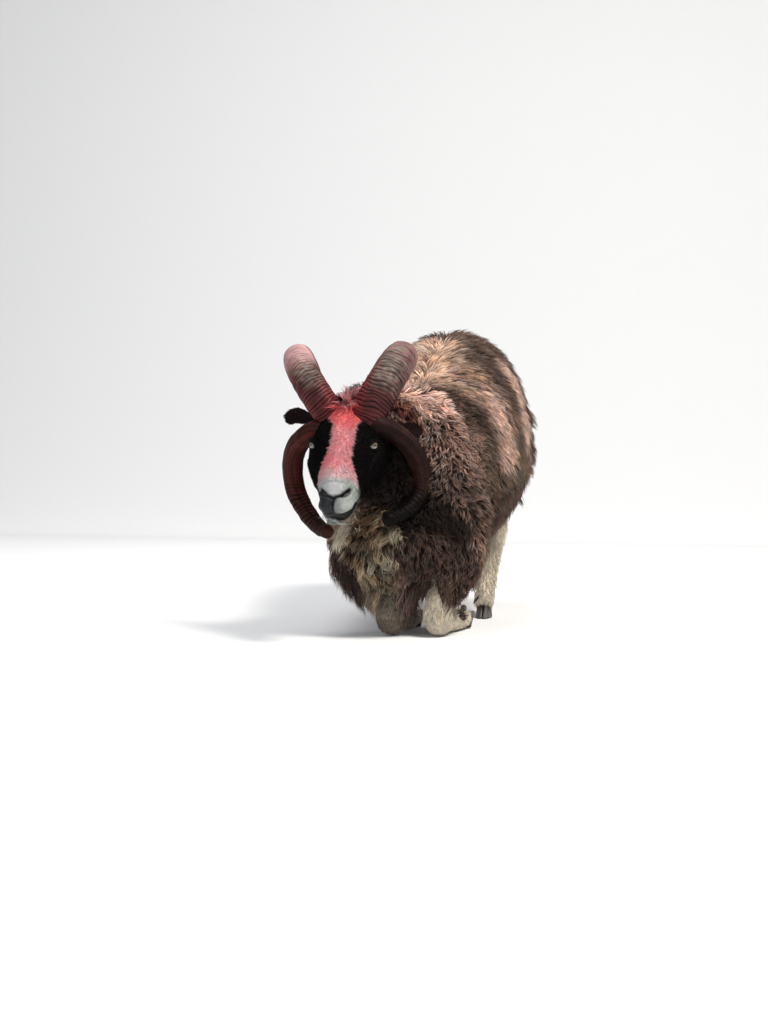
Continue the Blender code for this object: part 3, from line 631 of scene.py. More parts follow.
def hornTone(kind, hand, plain, grid, depth, seed):
    # Crest and groove from the root's pair of tones to the far pair, a worn face on the upper
    # horns and a painted highlight along the outer rim of the side horns, then the dye:
    # strongest at the root, on the inner side and in streaks along the horn.
    share = np.linspace(0, 1, len(grid))[:, None]
    crest, dark, farCrest, farDark, worn = (np.array(tone) for tone in hornTones[kind])
    low = ease(0.12, 0.62, depth)[..., None]
    far = ease(0.16, 0.46, share + 0.08 * ripple(grid, 0.05, seed + 8))[..., None]
    tone = mix(mix(crest, farCrest, far), mix(dark, farDark, far), low)
    normals = gridNormals(plain)
    outer = sideSigns[hand] * normals[..., 0]
    turn = np.linspace(0, twoPi, grid.shape[1], endpoint=False)[None]
    strands = ripple(0.03 * np.stack([np.cos(turn) + 0 * share, np.sin(turn) + 0 * share,
                                      share + 0 * turn], -1), 0.016, seed + 6)
    if kind == "upper":
        inner = ease(-0.2, 0.9, -outer)
        facing = normals @ unit(np.array([0.10, -0.80, 0.45]))
        patch = (ease(0.30, 0.90, 0.55 * ripple(grid, 0.020, seed + 5) + facing)
                 * band(0.16, 0.30, 0.50, 0.66, share))[..., None]
        blotch = ease(-0.5, 0.9, ripple(grid, 0.017, seed + 9))[..., None]
        tone = mix(tone, worn, patch * (0.35 + 0.55 * blotch) * (1 - 0.5 * low))
        tone = tone * mix(0.62, 1.25, ease(-0.8, 0.8, ripple(grid, 0.024, seed + 10)))[..., None]
        dye = (ease(0.17, 0.05, share) * inner
               + 0.75 * ease(0.2, 0.8, inner) * ease(0.5, 0.2, share) * ease(0.1, 0.7, strands + 0.3)
               + 0.30 * ease(0.3, 0.1, share))
        if hand == "right":
            tip = band(0.34, 0.46, 0.60, 0.72, share) * ease(-0.3, 0.3, facing)
            tone = mix(tone, dyes["pink"], 0.75 * tip[..., None] * (1 - 0.5 * low))
            dye = dye + 0.45 * ease(0.1, 0.7, -normals[..., 0]) * ease(0.55, 0.3, share)
    else:
        tone = tone * (1 + 0.45 * strands[..., None]).clip(0.4, 1.8)
        # painted highlight: the outer rim of each side horn lightened in streaks along its length
        edge = ease(0.62, 0.98, outer) * band(0.05, 0.2, 0.6, 0.9, share)
        tone = mix(tone, worn, 0.70 * edge[..., None] * ease(0.1, 0.8, strands + 0.3)[..., None])
        if hand == "left":  # it ends in the shade of the jaw
            tone = tone * mix(1.0, 0.10, ease(0.52, 0.74, share))[..., None]
        else:
            tone = tone * [1.9, 1.5, 1.4]
        dye = (0.34 if hand == "right" else 0.06) * ease(-0.4, 0.9, strands) * ease(1.0, 0.45, share)
    dye = np.clip(dye, 0, 1)[..., None] * mix(0.8, 1.0, low)
    return mix(tone, np.array(dyes["red"]) * mix(0.75, 0.18, low), dye * 0.8)


def makeHorn(kind, hand, rows, seed, up=None, side=None):  # a tube along its rows, ringed and toned
    plain = tube(rows, hornLook["round"], 2.15, up, side, bulge=(0, 0.012))
    grid, depth = ringedHorn(plain, hornLook[kind], seed)
    horn = closedGrid(f"{kind}Horn_{hand}", grid)
    setColour(horn.data, "tone", withPoles(hornTone(kind, hand, plain, grid, depth, seed)))
    setNumber(horn.data, "depth", withPoles(depth[..., None]))
    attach(horn, "root")
    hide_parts(f"horn_{kind}_{hand}")
    return horn


horns, hornRows = [], []
for index, side in enumerate(sideSigns):
    rows, across = upperHornRows(side)
    horns.append(makeHorn("upper", side, rows, 11 + index, side=across))
    hornRows.append(rows)
    rows = sideHornRows(side)
    horns.append(makeHorn("side", side, rows, 31 + index, up=(sideSigns[side], -0.9, 0.0)))
    hornRows.append(rows)
print("horns:", len(horns))

# eyes: a ball with a bulging front, and a level slit pupil


def makeEye(side):  # rings from the front of the eye to its back, a little proud at the cornea
    centre, axis, slit, rise, _ = eyeFrame(side)
    polar = np.linspace(math.radians(2), math.radians(176), 44)[:, None]
    turn = np.linspace(0, twoPi, 48, endpoint=False)[None]
    size = eyeLook["radius"] * (1 + 0.055 * np.exp(-(polar / 0.62) ** 2))
    part = np.stack([np.sin(polar) * np.cos(turn), np.sin(polar) * np.sin(turn),
                     np.cos(polar) + 0 * turn], -1)
    grid = centre + size[..., None] * (part @ np.array([slit, rise, axis]))
    eye = closedGrid(f"eyeball_{side}", grid)
    setArrow(eye.data, "look", withPoles(part))
    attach(eye, "root")
    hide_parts(f"eye_{side}")
    return eye


eyes = [makeEye(side) for side in sideSigns]
print("eyes:", len(eyes))

# hooves: two claws and two dewclaws on each foot

claw = {"length": 0.056, "width": 0.0228, "height": 0.036, "toe": 0.50,
        "cleft": 0.0018,      # from the foot's middle to a claw's flat side
        "heel": 0.036,        # how far a hind claw's heel lies behind the foot's place
        "folded": 0.044}      # how far a folded claw's heel lies beyond the fetlock
dewclaw = {"size": np.array([0.0074, 0.0084, 0.0094]), "apart": 0.0135,
           "hind": (0.057, 0.062), "fore": (0.012, 0.0515)}  # back and up from the foot or fetlock


def clawSurface(outer):
    # Level outlines from the sole to the hair: flat inside, round outside, drawn to a toe.
    # The toe points to -Y and the sole lies at 0.
    level = np.r_[0, 0, 0.02, np.linspace(0.06, 1, 22), 1]
    inset = np.r_[0.55, 0.93, 1.0, np.ones(22), 0.5][:, None]
    z = level[:, None] * claw["height"]
    long = claw["length"] * mix(1.0, 0.47, level)[:, None]
    wide = claw["width"] * mix(1.0, 0.80, level)[:, None]
    turn = np.linspace(0, twoPi, 40, endpoint=False)[None]
    y = -long * (0.5 - 0.5 * np.cos(turn))
    share = -y / long
    taper = 1 - (1 - claw["toe"]) * share ** 1.4
    swell = np.where(turn < math.pi, wide * np.abs(np.sin(turn)) ** 0.55 * taper,
                     -0.0003 * np.abs(np.sin(turn)))
    rings = 0.00035 * np.cos(twoPi * level * 9)[:, None] * np.sin(turn).clip(0)
    cleft = claw["cleft"]
    spot = np.stack([cleft + (swell + rings - wide / 2) * inset + wide / 2,
                     (y + long / 2) * inset - long / 2, z + 0 * turn], -1)
    return spot * [outer, 1, 1]


def dewclawSurface():  # a blunt knob, rings from its lower point up
    polar = np.linspace(math.radians(4), math.radians(176), 16)[:, None]
    turn = np.linspace(0, twoPi, 20, endpoint=False)[None]
    point = 1 + 0.12 * np.cos(polar)
    return np.stack([np.sin(polar) * np.cos(turn) / point, np.sin(polar) * np.sin(turn) / point,
                     -np.cos(polar) + 0 * turn], -1) * dewclaw["size"]


def makeHooves(foot, side):  # a foot's claws and dewclaws: a hind foot level, a forefoot sole up
    turn = -foldTurns[side]
    swing = np.array([[math.cos(turn), math.sin(turn), 0], [-math.sin(turn), math.cos(turn), 0],
                      [0, 0, 1]])
    made = []
    for which, outer in (("inner", -sideSigns[side]), ("outer", sideSigns[side])):
        shape = clawSurface(outer)
        if foot == "hind":
            shape = shape + hindFeet[side] + [0, claw["heel"], 0]
            dew = hindFeet[side] + [dewclaw["apart"] * outer, *dewclaw["hind"]]
        else:
            back, knee = foldWay(side), knees[side] * [1, 1, 0]
            beyond, high = dewclaw["fore"]
            spot = knee + back * (cannonLength + claw["folded"])
            shape = (shape * [1, -1, -1]) @ swing + spot + [0, 0, claw["height"]]
            dew = (knee + back * (cannonLength + beyond) + [0, 0, high]
                   + np.cross(back, [0, 0, 1.0]) * dewclaw["apart"] * outer)
        for kind, grid in (("claw", shape), ("dewclaw", dewclawSurface() + dew)):
            piece = closedGrid(f"{kind}Hoof_{foot}_{side}_{which}", grid)
            setNumber(piece.data, "height", withPoles(np.linspace(0, 1, len(grid))[:, None, None]
                                                      + 0 * grid[..., :1]))
            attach(piece, "root")
            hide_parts(f"{kind}_{foot}_{side}_{which}")
            made.append(piece)
    return made


hooves = [piece for foot in ("fore", "hind") for side in sideSigns
          for piece in makeHooves(foot, side)]
print("hooves:", len(hooves))

# markings: the wool's colour from its dark root to its light tip, anywhere on the body; the dark roots
# are partly painted shade deep in the coat

wools = {  # root, tip
    "brown": ((0.009, 0.004, 0.003), (0.450, 0.285, 0.228)),
    "deepBrown": ((0.005, 0.002, 0.001), (0.120, 0.075, 0.056)),
    "rumpBrown": ((0.014, 0.007, 0.005), (0.145, 0.094, 0.072)),
    "blackBrown": ((0.002, 0.001, 0.001), (0.016, 0.009, 0.007)),
    "cream": ((0.25, 0.145, 0.100), (0.86, 0.600, 0.450)),
    "crest": ((0.26, 0.150, 0.110), (0.92, 0.690, 0.560)),
    "pinkBrown": ((0.40, 0.215, 0.170), (0.95, 0.660, 0.540)),
    "pinkCream": ((0.19, 0.110, 0.085), (0.86, 0.590, 0.470)),
    "sand": ((0.05, 0.028, 0.018), (0.52, 0.355, 0.255)),
    "rust": ((0.020, 0.008, 0.004), (0.150, 0.092, 0.050)),
    "tan": ((0.018, 0.012, 0.008), (0.190, 0.142, 0.090)),
    "straw": ((0.045, 0.032, 0.020), (0.430, 0.345, 0.235)),
    "milk": ((0.24, 0.195, 0.145), (0.88, 0.780, 0.610)),
    "legCream": ((0.50, 0.430, 0.330), (0.94, 0.840, 0.680)),
    "grizzle": ((0.012, 0.007, 0.005), (0.170, 0.122, 0.086)),
    "dyedWool": ((0.020, 0.003, 0.003), (0.190, 0.034, 0.030)),
}
patches = [  # wool, places along its middle, reach, strength: later ones lie over earlier ones
    ("rumpBrown", [(0.05, 0.60, 0.64)], (0.32, 0.26, 0.24), 1.0),
    ("grizzle", [(0.19, 0.20, 0.40), (0.20, 0.38, 0.38)], (0.10, 0.12, 0.13), 0.9),   # flanks
    ("grizzle", [(-0.19, 0.22, 0.40), (-0.20, 0.40, 0.38)], (0.10, 0.12, 0.13), 0.9),
    # low on the left flank: dark brown wool, partly painted shade under the body
    ("deepBrown", [(0.18, 0.14, 0.25), (0.20, 0.44, 0.28)], (0.10, 0.12, 0.10), 0.85),
    ("deepBrown", [(0.10, -0.03, 0.36), (0.15, 0.03, 0.31)], (0.075, 0.075, 0.065), 0.68),
    # low on the right flank: dark brown wool, partly painted shade under the body
    ("deepBrown", [(-0.18, 0.14, 0.25), (-0.20, 0.44, 0.28)], (0.10, 0.12, 0.10), 0.85),
    ("cream", [(-0.055, 0.24, 0.63), (-0.075, 0.50, 0.70)], (0.080, 0.075, 0.10), 1.0),  # back
    ("sand", [(0.02, 0.37, 0.668), (0.095, 0.335, 0.637)], (0.050, 0.050, 0.05), 0.85),
    ("sand", [(0.02, 0.215, 0.62), (0.125, 0.262, 0.585)], (0.050, 0.028, 0.05), 0.8),
    ("deepBrown", [(0.050, 0.150, 0.600), (0.105, 0.152, 0.555), (0.155, 0.205, 0.515)],
     (0.046, 0.046, 0.046), 1.0),                                              # behind the shoulder
    ("deepBrown", [(-0.12, 0.165, 0.570), (-0.17, 0.24, 0.500)], (0.050, 0.050, 0.050), 0.95),
    ("pinkCream", [(0.150, 0.292, 0.575), (0.180, 0.262, 0.518), (0.198, 0.250, 0.462)],
     (0.056, 0.060, 0.056), 0.85),
    ("pinkCream", [(-0.15, 0.38, 0.60), (-0.195, 0.36, 0.50)], (0.050, 0.060, 0.050), 0.9),
    ("pinkCream", [(0.150, 0.555, 0.660), (0.195, 0.51, 0.59), (0.222, 0.46, 0.50)],
     (0.044, 0.060, 0.048), 0.85),
    ("pinkBrown", [(-0.010, 0.022, 0.585), (0.045, 0.062, 0.565)], (0.060, 0.050, 0.045), 0.95),
    ("pinkBrown", [(-0.075, 0.055, 0.580)], (0.050, 0.050, 0.045), 0.8),
    ("blackBrown", [(-0.06, -0.06, 0.42), (-0.010, -0.08, 0.32), (0.045, -0.06, 0.25)],
     (0.105, 0.090, 0.080), 1.0),                                              # throat: black wool, partly painted shade under the head
    # below the side horn: dark brown wool, partly painted shade under the head
    ("deepBrown", [(0.05, -0.07, 0.20), (0.10, 0.00, 0.15)], (0.085, 0.080, 0.060), 0.95),
    ("blackBrown", [(-0.15, -0.05, 0.58)], (0.080, 0.050, 0.060), 0.95),                 # behind the poll
    ("dyedWool", [(-0.040, -0.012, 0.562), (-0.015, 0.004, 0.550)], (0.026, 0.030, 0.026), 0.85),
    ("blackBrown", [(-0.19, -0.03, 0.20), (-0.155, -0.05, 0.135)], (0.055, 0.060, 0.050), 0.9),
    ("rust", [(-0.085, -0.085, 0.285), (-0.120, -0.085, 0.235)], (0.046, 0.065, 0.044), 1.0),   # bib
    ("tan", [(-0.090, -0.085, 0.210), (-0.075, -0.075, 0.150)], (0.042, 0.065, 0.040), 1.0),
    ("straw", [(-0.048, -0.090, 0.290), (-0.058, -0.085, 0.205), (-0.115, -0.080, 0.188)],
     (0.018, 0.060, 0.020), 0.85),
    ("milk", [(-0.126, -0.100, 0.340), (-0.162, -0.090, 0.245)], (0.024, 0.070, 0.022), 1.0),
    ("straw", [(-0.040, -0.095, 0.290), (-0.024, -0.090, 0.245)], (0.013, 0.060, 0.014), 0.9),
    ("straw", [(-0.105, -0.040, 0.122), (-0.045, -0.045, 0.118)], (0.022, 0.060, 0.022), 0.95),
    ("milk", [(0.020, -0.040, 0.115), (0.035, -0.040, 0.085)], (0.010, 0.050, 0.016), 0.8),
]
creaseLine = [  # the fold behind the left shoulder, from the spine down
    (-0.03, 0.222, 0.625), (0.010, 0.165, 0.612), (0.049, 0.107, 0.590), (0.072, 0.086, 0.564),
    (0.094, 0.072, 0.530), (0.114, 0.066, 0.494), (0.130, 0.058, 0.448), (0.148, 0.068, 0.402),
    (0.163, 0.072, 0.320),
]
rightDrop = -0.03  # how much farther out the right shoulder's fold lies
legSpots = [((0.106, 0.107, 0.040), 0.020), ((0.104, 0.393, 0.050), 0.011),
            ((-0.100, 0.462, 0.052), 0.011)]
blaze = {  # along the face, its edge on the right, its edge on the left
    "along": (-0.060, -0.012, 0.020, 0.053, 0.113, 0.147, 0.164, 0.181, 0.211, 0.250),
    "right": (-0.004, -0.004, -0.045, -0.020, -0.019, -0.0265, -0.036, -0.0465, -0.041, -0.038),
    "left": (0.020, 0.022, 0.048, 0.032, 0.0305, 0.029, 0.033, 0.043, 0.049, 0.053),
}
faceTones = {
    "black": ((0.0010, 0.0008, 0.0008), (0.0036, 0.0028, 0.0027)),
    "poll": ((0.004, 0.002, 0.002), (0.034, 0.016, 0.015)),
    "white": ((0.40, 0.37, 0.36), (0.80, 0.76, 0.75)),
    "red": ((0.48, 0.070, 0.074), (0.72, 0.160, 0.168)),
    "salmon": ((0.46, 0.160, 0.168), (0.70, 0.300, 0.312)),
    "pink": ((0.46, 0.25, 0.26), (0.72, 0.44, 0.45)),
    "nose": ((0.26, 0.262, 0.268), (0.60, 0.595, 0.60)),
    "lip": ((0.20, 0.215, 0.20), (0.50, 0.53, 0.50)),
    "smoke": ((0.005, 0.006, 0.007), (0.026, 0.030, 0.034)),
    "chin": ((0.005, 0.006, 0.006), (0.024, 0.028, 0.028)),
    "skin": ((0.004, 0.0035, 0.004), (0.008, 0.0075, 0.008)),
}


def near(points, path, reach):  # 1 inside an oval round a path, 0 well outside, its edge uneven
    reach = np.array(reach)
    far = distanceTo(points / reach, np.atleast_2d(path) / reach)
    uneven = 0.16 * ripple(points, 0.07, 41) + 0.10 * ripple(points, 0.022, 42)
    return ease(1.30, 0.78, far + uneven)[..., None]


def allOver(tones, points):  # a root and a tip tone, the same at every point
    return tuple(np.zeros_like(points) + tone for tone in tones)


def over(tones, new, cover):  # a root and a tip tone, each mixed towards a new one
    return tuple(mix(old, np.array(tone), cover) for old, tone in zip(tones, new))


def bodyTone(points):  # the patches laid one over another, and the pale edge of the shoulder's fold
    tones = allOver(wools["brown"], points)
    for wool, path, reach, strength in patches:
        tones = over(tones, wools[wool], strength * near(points, path, reach))
    for sign, drop in ((1, 0), (-1, rightDrop)):
        gap = distanceTo(points, np.array(creaseLine) * [sign, 1, 1] + [drop, 0, 0])
        pale = ease(0.026, 0.010, gap + 0.006 * ripple(points, 0.03, 44))
        pale = (pale * mix(0.30, 1.0, ease(0.36, 0.54, points[..., 2])))[..., None]
        tones = tuple(mix(old, np.array(new), pale * share)
                      for old, new, share in zip(tones, wools["crest"], (0.6, 1.0)))
    return tones


def legTone(points):  # cream, browner above the knees and hocks, and darker on the right forefoot, partly painted shade
    tones = allOver(wools["legCream"], points)
    fore = points[..., 1] < 0.3
    high = np.where(fore, ease(0.085, 0.17, points[..., 2]), ease(0.24, 0.33, points[..., 2]))
    # the right forefoot darkened: partly its own grey-brown, partly painted shade under the body
    right = ease(0.0, -0.01, points[..., 0]) * fore * mix(0.80, 0.50, ease(0.02, 0.05, points[..., 1]))
    shade = (0.85 * high + right + 0.18 * ripple(points, 0.05, 43)).clip(0, 0.95)[..., None]
    tones = over(tones, wools["grizzle"], shade)
    for spot, reach in legSpots:
        dark = ease(1.15, 0.75, np.linalg.norm(points - spot, axis=-1) / reach)[..., None]
        tones = over(tones, wools["deepBrown"], dark)
    return tones


lineBreadths = {  # how wide each dark line of the face is, from its middle outwards
    "nostril": (0.0062, 0.0064, 0.0072, 0.0064),
    "philtrum": (0.0040, 0.0040, 0.0040, 0.0040),
    "mouth": (0.0042, 0.0046, 0.0048, 0.0048),
}


def faceTone(points):  # black, with a blaze between its two edges, dyed red above, and pale lips
    spot = toHead(points)
    x, along, above = spot[..., 0], spot[..., 1], spot[..., 2]
    rough = 0.0024 * ripple(points, 0.012, 47) + 0.0014 * ripple(points, 0.005, 52)
    right, left = (np.interp(along, blaze["along"], blaze[k]) + rough for k in ("right", "left"))
    inside = (ease(-0.002, 0.002, x - right) * ease(-0.002, 0.002, left - x)
              * ease(-0.075, -0.060, above - 0.06 * ease(0.19, 0.22, along)))
    tones = allOver(faceTones["black"], points)

    def lay(name, cover):
        nonlocal tones
        tones = over(tones, faceTones[name], np.clip(cover, 0, 1)[..., None])

    lay("poll", ease(0.014, -0.008, along + 0.006 * ripple(points, 0.02, 53)))
    lay("white", inside)
    fading = along + 0.012 * ripple(points, 0.05, 48)
    lay("pink", inside * ease(0.212, 0.196, fading))
    lay("salmon", inside * ease(0.190, 0.165, fading))
    streak = ease(0.2, 0.9, ripple(points * [1, 1, 0.4], 0.020, 49)
                  + 1.1 * ease(0.0, -0.02, x) * band(0.125, 0.145, 0.17, 0.185, along))
    lay("red", inside * (ease(0.085, 0.035, fading) + 0.38 * streak * ease(0.19, 0.16, along)))
    lay("pink", inside * 0.7 * ease(0.012, -0.006, along + 0.4 * np.abs(x)))
    lay("nose", ease(0.198, 0.214, along + 0.25 * np.abs(x)) * ease(0.046, 0.036, np.abs(x))
        * ease(-0.075, -0.060, above))
    front = ease(0.190, 0.215, along)
    rim, line = (np.array(faceLines[name])[::-1] for name in ("nostril", "mouth"))
    underNose = along - np.interp(np.abs(x), rim[:, 0], rim[:, 1])
    overMouth = above - np.interp(along, line[:, 1], line[:, 2])
    upper = front * ease(-0.003, 0.001, overMouth)
    lay("lip", upper * ease(0.014, 0.026, x))
    lay("lip", upper * ease(0.0, 0.006, x) * (0.30 + 0.45 * ease(0.006, 0.020, x))
        * ease(0.0, 0.006, underNose))
    lay("smoke", front * ease(0.006, -0.006, x) * ease(-0.001, 0.004, underNose)
        * band(-0.110, -0.100, -0.030, -0.026, above))
    lay("smoke", front * ease(0.0, -0.004, overMouth))
    lay("black", 0.85 * front * ease(0.0, -0.004, overMouth) * ease(-0.006, 0.002, x))
    lay("smoke", ease(0.003, -0.003, np.abs(x) - 0.013 + 0.6 * underNose) * ease(0.0, 0.004, underNose))
    lay("smoke", 0.55 * upper * ease(0.0, 0.005, underNose)
        * ease(0.034, 0.004, x + 0.004 * ripple(points, 0.012, 54)))
    lay("chin", ease(0.195, 0.225, along) * ease(-0.072, -0.082, above + 0.35 * (0.262 - along).clip(0)))
    return tones


def folded(points, normals):  # the fold behind each shoulder: sunk behind the line, full before it
    moved = points.copy()
    for sign in (1, -1):
        line = np.array(creaseLine[2:]) * [sign, 1, 1] + [0 if sign > 0 else rightDrop, 0, 0]
        sunk = np.exp(-(distanceTo(points, line + [0.004 * sign, 0.030, 0.004]) / 0.020) ** 2)
        full = np.exp(-(distanceTo(points, line - [0, 0.014, 0]) / 0.026) ** 2)
        moved += normals * (0.008 * full - 0.020 * sunk)[:, None]
    return moved


def faceDepth(points):  # 1 in the nostrils and along the mouth, 0 elsewhere
    spot = toHead(points)
    spot[..., 0] = np.abs(spot[..., 0])
    found = 0
    for name, breadth in lineBreadths.items():
        wide = np.interp(spot[..., 0], (0, 0.010, 0.018, 0.034), breadth)
        for path in (faceLines[name], finishedPath(faceLines[name])):  # the rims, and the bottom
            found = np.maximum(found, 1.25 * np.exp(-(distanceTo(spot, path) / wide) ** 2))
    return np.minimum(found, 1)


def partsNamed(*starts):  # the numbers of the parts whose names start so
    return [i for i, name in enumerate(partNames) if name.startswith(starts)]


headParts = partsNamed("head", "lid", "ear")
legParts = partsNamed("foreleg_", "hindleg", "purse")
tailParts = partsNamed("tail")
thighParts = partsNamed("hindlegLeft", "hindlegRight")


def toneAt(points, part):  # the markings, from the root's tone to the tip's, and painted shade in the nostrils and along the mouth
    tones = bodyTone(points)
    for these, toneOf in ((headParts, faceTone), (legParts, legTone)):
        where = np.isin(part, these)
        share = np.where(np.isin(part, thighParts), ease(0.32, 0.25, points[:, 2]), 1)[where][:, None]
        for whole, new in zip(tones, toneOf(points[where])):
            whole[where] = mix(whole[where], new, share)
    where = np.isin(part, tailParts)  # a dark tail, pale at its end
    pale = ease(0.46, 0.36, points[where][:, 2:3])
    for whole, dark, light in zip(tones, wools["deepBrown"], wools["milk"]):
        whole[where] = mix(np.array(dark), light, pale)
    # painted shade: the nostrils and the mouth's line darkened almost to black
    where = np.isin(part, headParts)
    dark = faceDepth(points[where])[:, None] * 0.97
    for whole in tones:
        whole[where] = mix(whole[where], np.array(faceTones["skin"][0]), dark)
    return tones


# skin: the same markings, and where it is bare

bodyParts = partsNamed("trunk", "neck")
skinPoints = places(skin.data)
onBody = np.isin(skinPart, bodyParts)
skinPoints[onBody] = folded(skinPoints[onBody], readArrows(skin.data, "normal")[onBody])
skin.data.vertices.foreach_set("co", (skinPoints + middle).astype(np.float32).ravel())
skin.data.update()
skinRoot, skinTip = toneAt(skinPoints, skinPart)
onFace = np.isin(skinPart, headParts)
# the skin's tone lies near the dark root of the wool over it, partly painted shade under the coat
setColour(skin.data, "tone", mix(skinRoot, skinTip, 0.25))
setNumber(skin.data, "bare", np.where(onFace, ease(0.205, 0.235, toHead(skinPoints)[:, 1]), 0))
print("markings on the skin")

# coat: closed three-sided tufts, rooted in the skin and lying along the body

coatNumbers = ("rings", "length", "breadth", "height", "curl", "stray", "clump", "pull",
               "apart", "mottle", "droop")
coatRows = {
    # Each kind's slot, which picks its finish, and the parts it grows on. Below them each tuft's rings,
    # length, breadth, height over the skin and curl, and how far its way strays; the size
    # of the clumps and the pull to them; the distance apart; how much the tone of the clumps
    # varies; and how much it droops.
    "fleece": ("fleece", ["trunk"],
               3, 0.0500, 0.0027, 0.0290, 0.0018, 0.26, 0.0150, 0.58, 0.0046, 0.26, 0.00),
    "mane": ("fleece", ["neck", "trunk"],
             4, 0.0290, 0.0030, 0.0260, 0.0042, 0.42, 0.0095, 0.56, 0.0047, 0.30, 0.00),
    "bib": ("fleece", ["trunk", "neck"],
            4, 0.0550, 0.0034, 0.0260, 0.0075, 0.30, 0.0180, 0.80, 0.0056, 0.30, 0.00),
    "tassel": ("fleece", ["trunk", "neck"],
               4, 0.0620, 0.0030, 0.0300, 0.0050, 0.20, 0.0130, 0.55, 0.0032, 0.18, 0.25),
    "skirt": ("fleece", ["forelegLeft", "forelegRight", "trunk"],
              4, 0.0520, 0.0030, 0.0160, 0.0068, 0.34, 0.0170, 0.60, 0.0042, 0.32, 0.70),
    "sleeve": ("fleece", ["forelegLeft", "forelegRight"],
               4, 0.0320, 0.0032, 0.0210, 0.0036, 0.34, 0.0105, 0.58, 0.0050, 0.28, 0.00),
    "haunch": ("leg_hair", ["hindlegLeft", "hindlegRight"],
               3, 0.0340, 0.0028, 0.0180, 0.0014, 0.24, 0.0120, 0.50, 0.0048, 0.22, 0.00),
    "tail": ("fleece", ["tail"],
             4, 0.0460, 0.0030, 0.0160, 0.0030, 0.22, 0.0140, 0.66, 0.0046, 0.22, 0.00),
    "leg": ("leg_hair", ["foreleg_", "hindleg_", "purse"],
            2, 0.0195, 0.0017, 0.0062, 0.0008, 0.28, 0.0105, 0.50, 0.0038, 0.14, 0.00),
    "face": ("face_hair", ["head", "lid"],
             2, 0.0082, 0.0012, 0.0017, 0.0001, 0.20, 0.0060, 0.35, 0.0024, 0.10, 0.00),
    "topknot": ("face_hair", ["head"],
                4, 0.0260, 0.0020, 0.0220, 0.0032, 0.60, 0.0090, 0.45, 0.0036, 0.20, 0.00),
    "quiff": ("face_hair", ["head"],
              4, 0.0240, 0.0015, 0.0420, 0.0026, 0.34, 0.0100, 0.62, 0.0021, 0.20, 0.00),
    "beard": ("face_hair", ["head"],
              3, 0.0330, 0.0016, 0.0080, 0.0012, 0.24, 0.0090, 0.50, 0.0027, 0.22, 0.00),
    "ear": ("face_hair", ["ear_"],
            2, 0.0085, 0.0012, 0.0016, 0.0001, 0.20, 0.0060, 0.30, 0.0026, 0.10, 0.00),
}
coats = {kind: {"slot": slot, "on": on, **dict(zip(coatNumbers, numbers))}
         for kind, (slot, on, *numbers) in coatRows.items()}
tuftLook = {
    "long": (0.66, 1.22), "tall": (0.52, 1.12), "wide": (0.70, 1.25),  # the spread of each size
    "reach": 1.15, "rise": 1.9, "lean": 1.5, "sag": 1.4,  # powers of the share of its length
    "sunk": (0.0012, 0.3),  # how far the root lies under the skin, at most, and of its height
    "turn": 7.2,            # how far its curl goes round
    "oval": 0.55,           # its thickness, of its breadth
    "least": 0.0008,        # its height over the ground
    "widths": {4: [0.62, 1.0, 0.92, 0.62], 3: [0.7, 1.0, 0.74], 2: [0.8, 1.0]},  # at its rings
}
bakePatch = 0.003  # the breadth of a tuft's patch in the OFBake map
mostTriangles = 190000  # in one piece of coat
tassels = [  # places along each, and its reach
    ([(-0.127, -0.100, 0.338), (-0.150, -0.090, 0.280)], 0.022),
    ([(-0.038, -0.095, 0.290), (-0.030, -0.090, 0.272)], 0.008),
]
skirts = [  # where the wool hangs low: outside the right knee, over the knees, under the flanks
    ([(-0.205, 0.060, 0.200), (-0.185, 0.020, 0.185), (-0.145, -0.010, 0.145)],
     (0.045, 0.070, 0.045)),
    ([(-0.030, 0.000, 0.125), (0.040, 0.000, 0.130), (0.080, 0.010, 0.140)],
     (0.030, 0.075, 0.034)),
    ([(-0.105, -0.040, 0.125), (-0.045, -0.045, 0.125)], (0.024, 0.060, 0.020)),
    ([(0.165, 0.100, 0.175), (0.190, 0.300, 0.185)], (0.040, 0.060, 0.034)),
    ([(-0.180, 0.120, 0.160), (-0.190, 0.300, 0.185)], (0.040, 0.070, 0.034)),
]


def inPaths(points, areas):  # 1 near any of the paths, each with its reach
    return np.max([near(points, path, reach)[:, 0] for path, reach in areas], axis=0)


def shareOf(kind, points):  # how likely a root of this kind is at each place
    front = (ease(0.235, 0.150, points[:, 1] + 0.10 * (points[:, 2] - 0.42)
                  + 0.012 * ripple(points, 0.06, 71)))
    above = ease(0.52, 0.60, points[:, 2])
    curly = front * (1 - 0.8 * above * ease(0.06, 0.14, points[:, 1]))
    bib = inPaths(points, [([(-0.085, -0.09, 0.285), (-0.080, -0.09, 0.165)], (0.052, 0.07, 0.045))])
    x, along, high = toHead(points).T
    poll = ease(0.016, 0.002, along) * ease(-0.06, -0.03, high)
    chin = (ease(0.195, 0.222, along) * ease(0.034, 0.024, np.abs(x)) * ease(0.001, -0.008, x)
            * ease(-0.078, -0.088, high + 0.35 * (0.255 - along).clip(0)))
    quiff = (band(-0.006, 0.001, 0.016, 0.023, x) * band(-0.06, -0.045, -0.004, 0.004, along)
             * ease(-0.03, -0.01, high))
    shares = {
        "fleece": 1 - curly, "mane": curly * (1 - 0.8 * bib), "bib": bib,
        "tassel": inPaths(points, [(path, (reach, 0.07, reach)) for path, reach in tassels]),
        "skirt": inPaths(points, skirts), "topknot": poll, "quiff": quiff, "beard": chin,
        "face": 1 - 0.7 * poll,
    }
    return shares.get(kind, np.ones(len(points)))


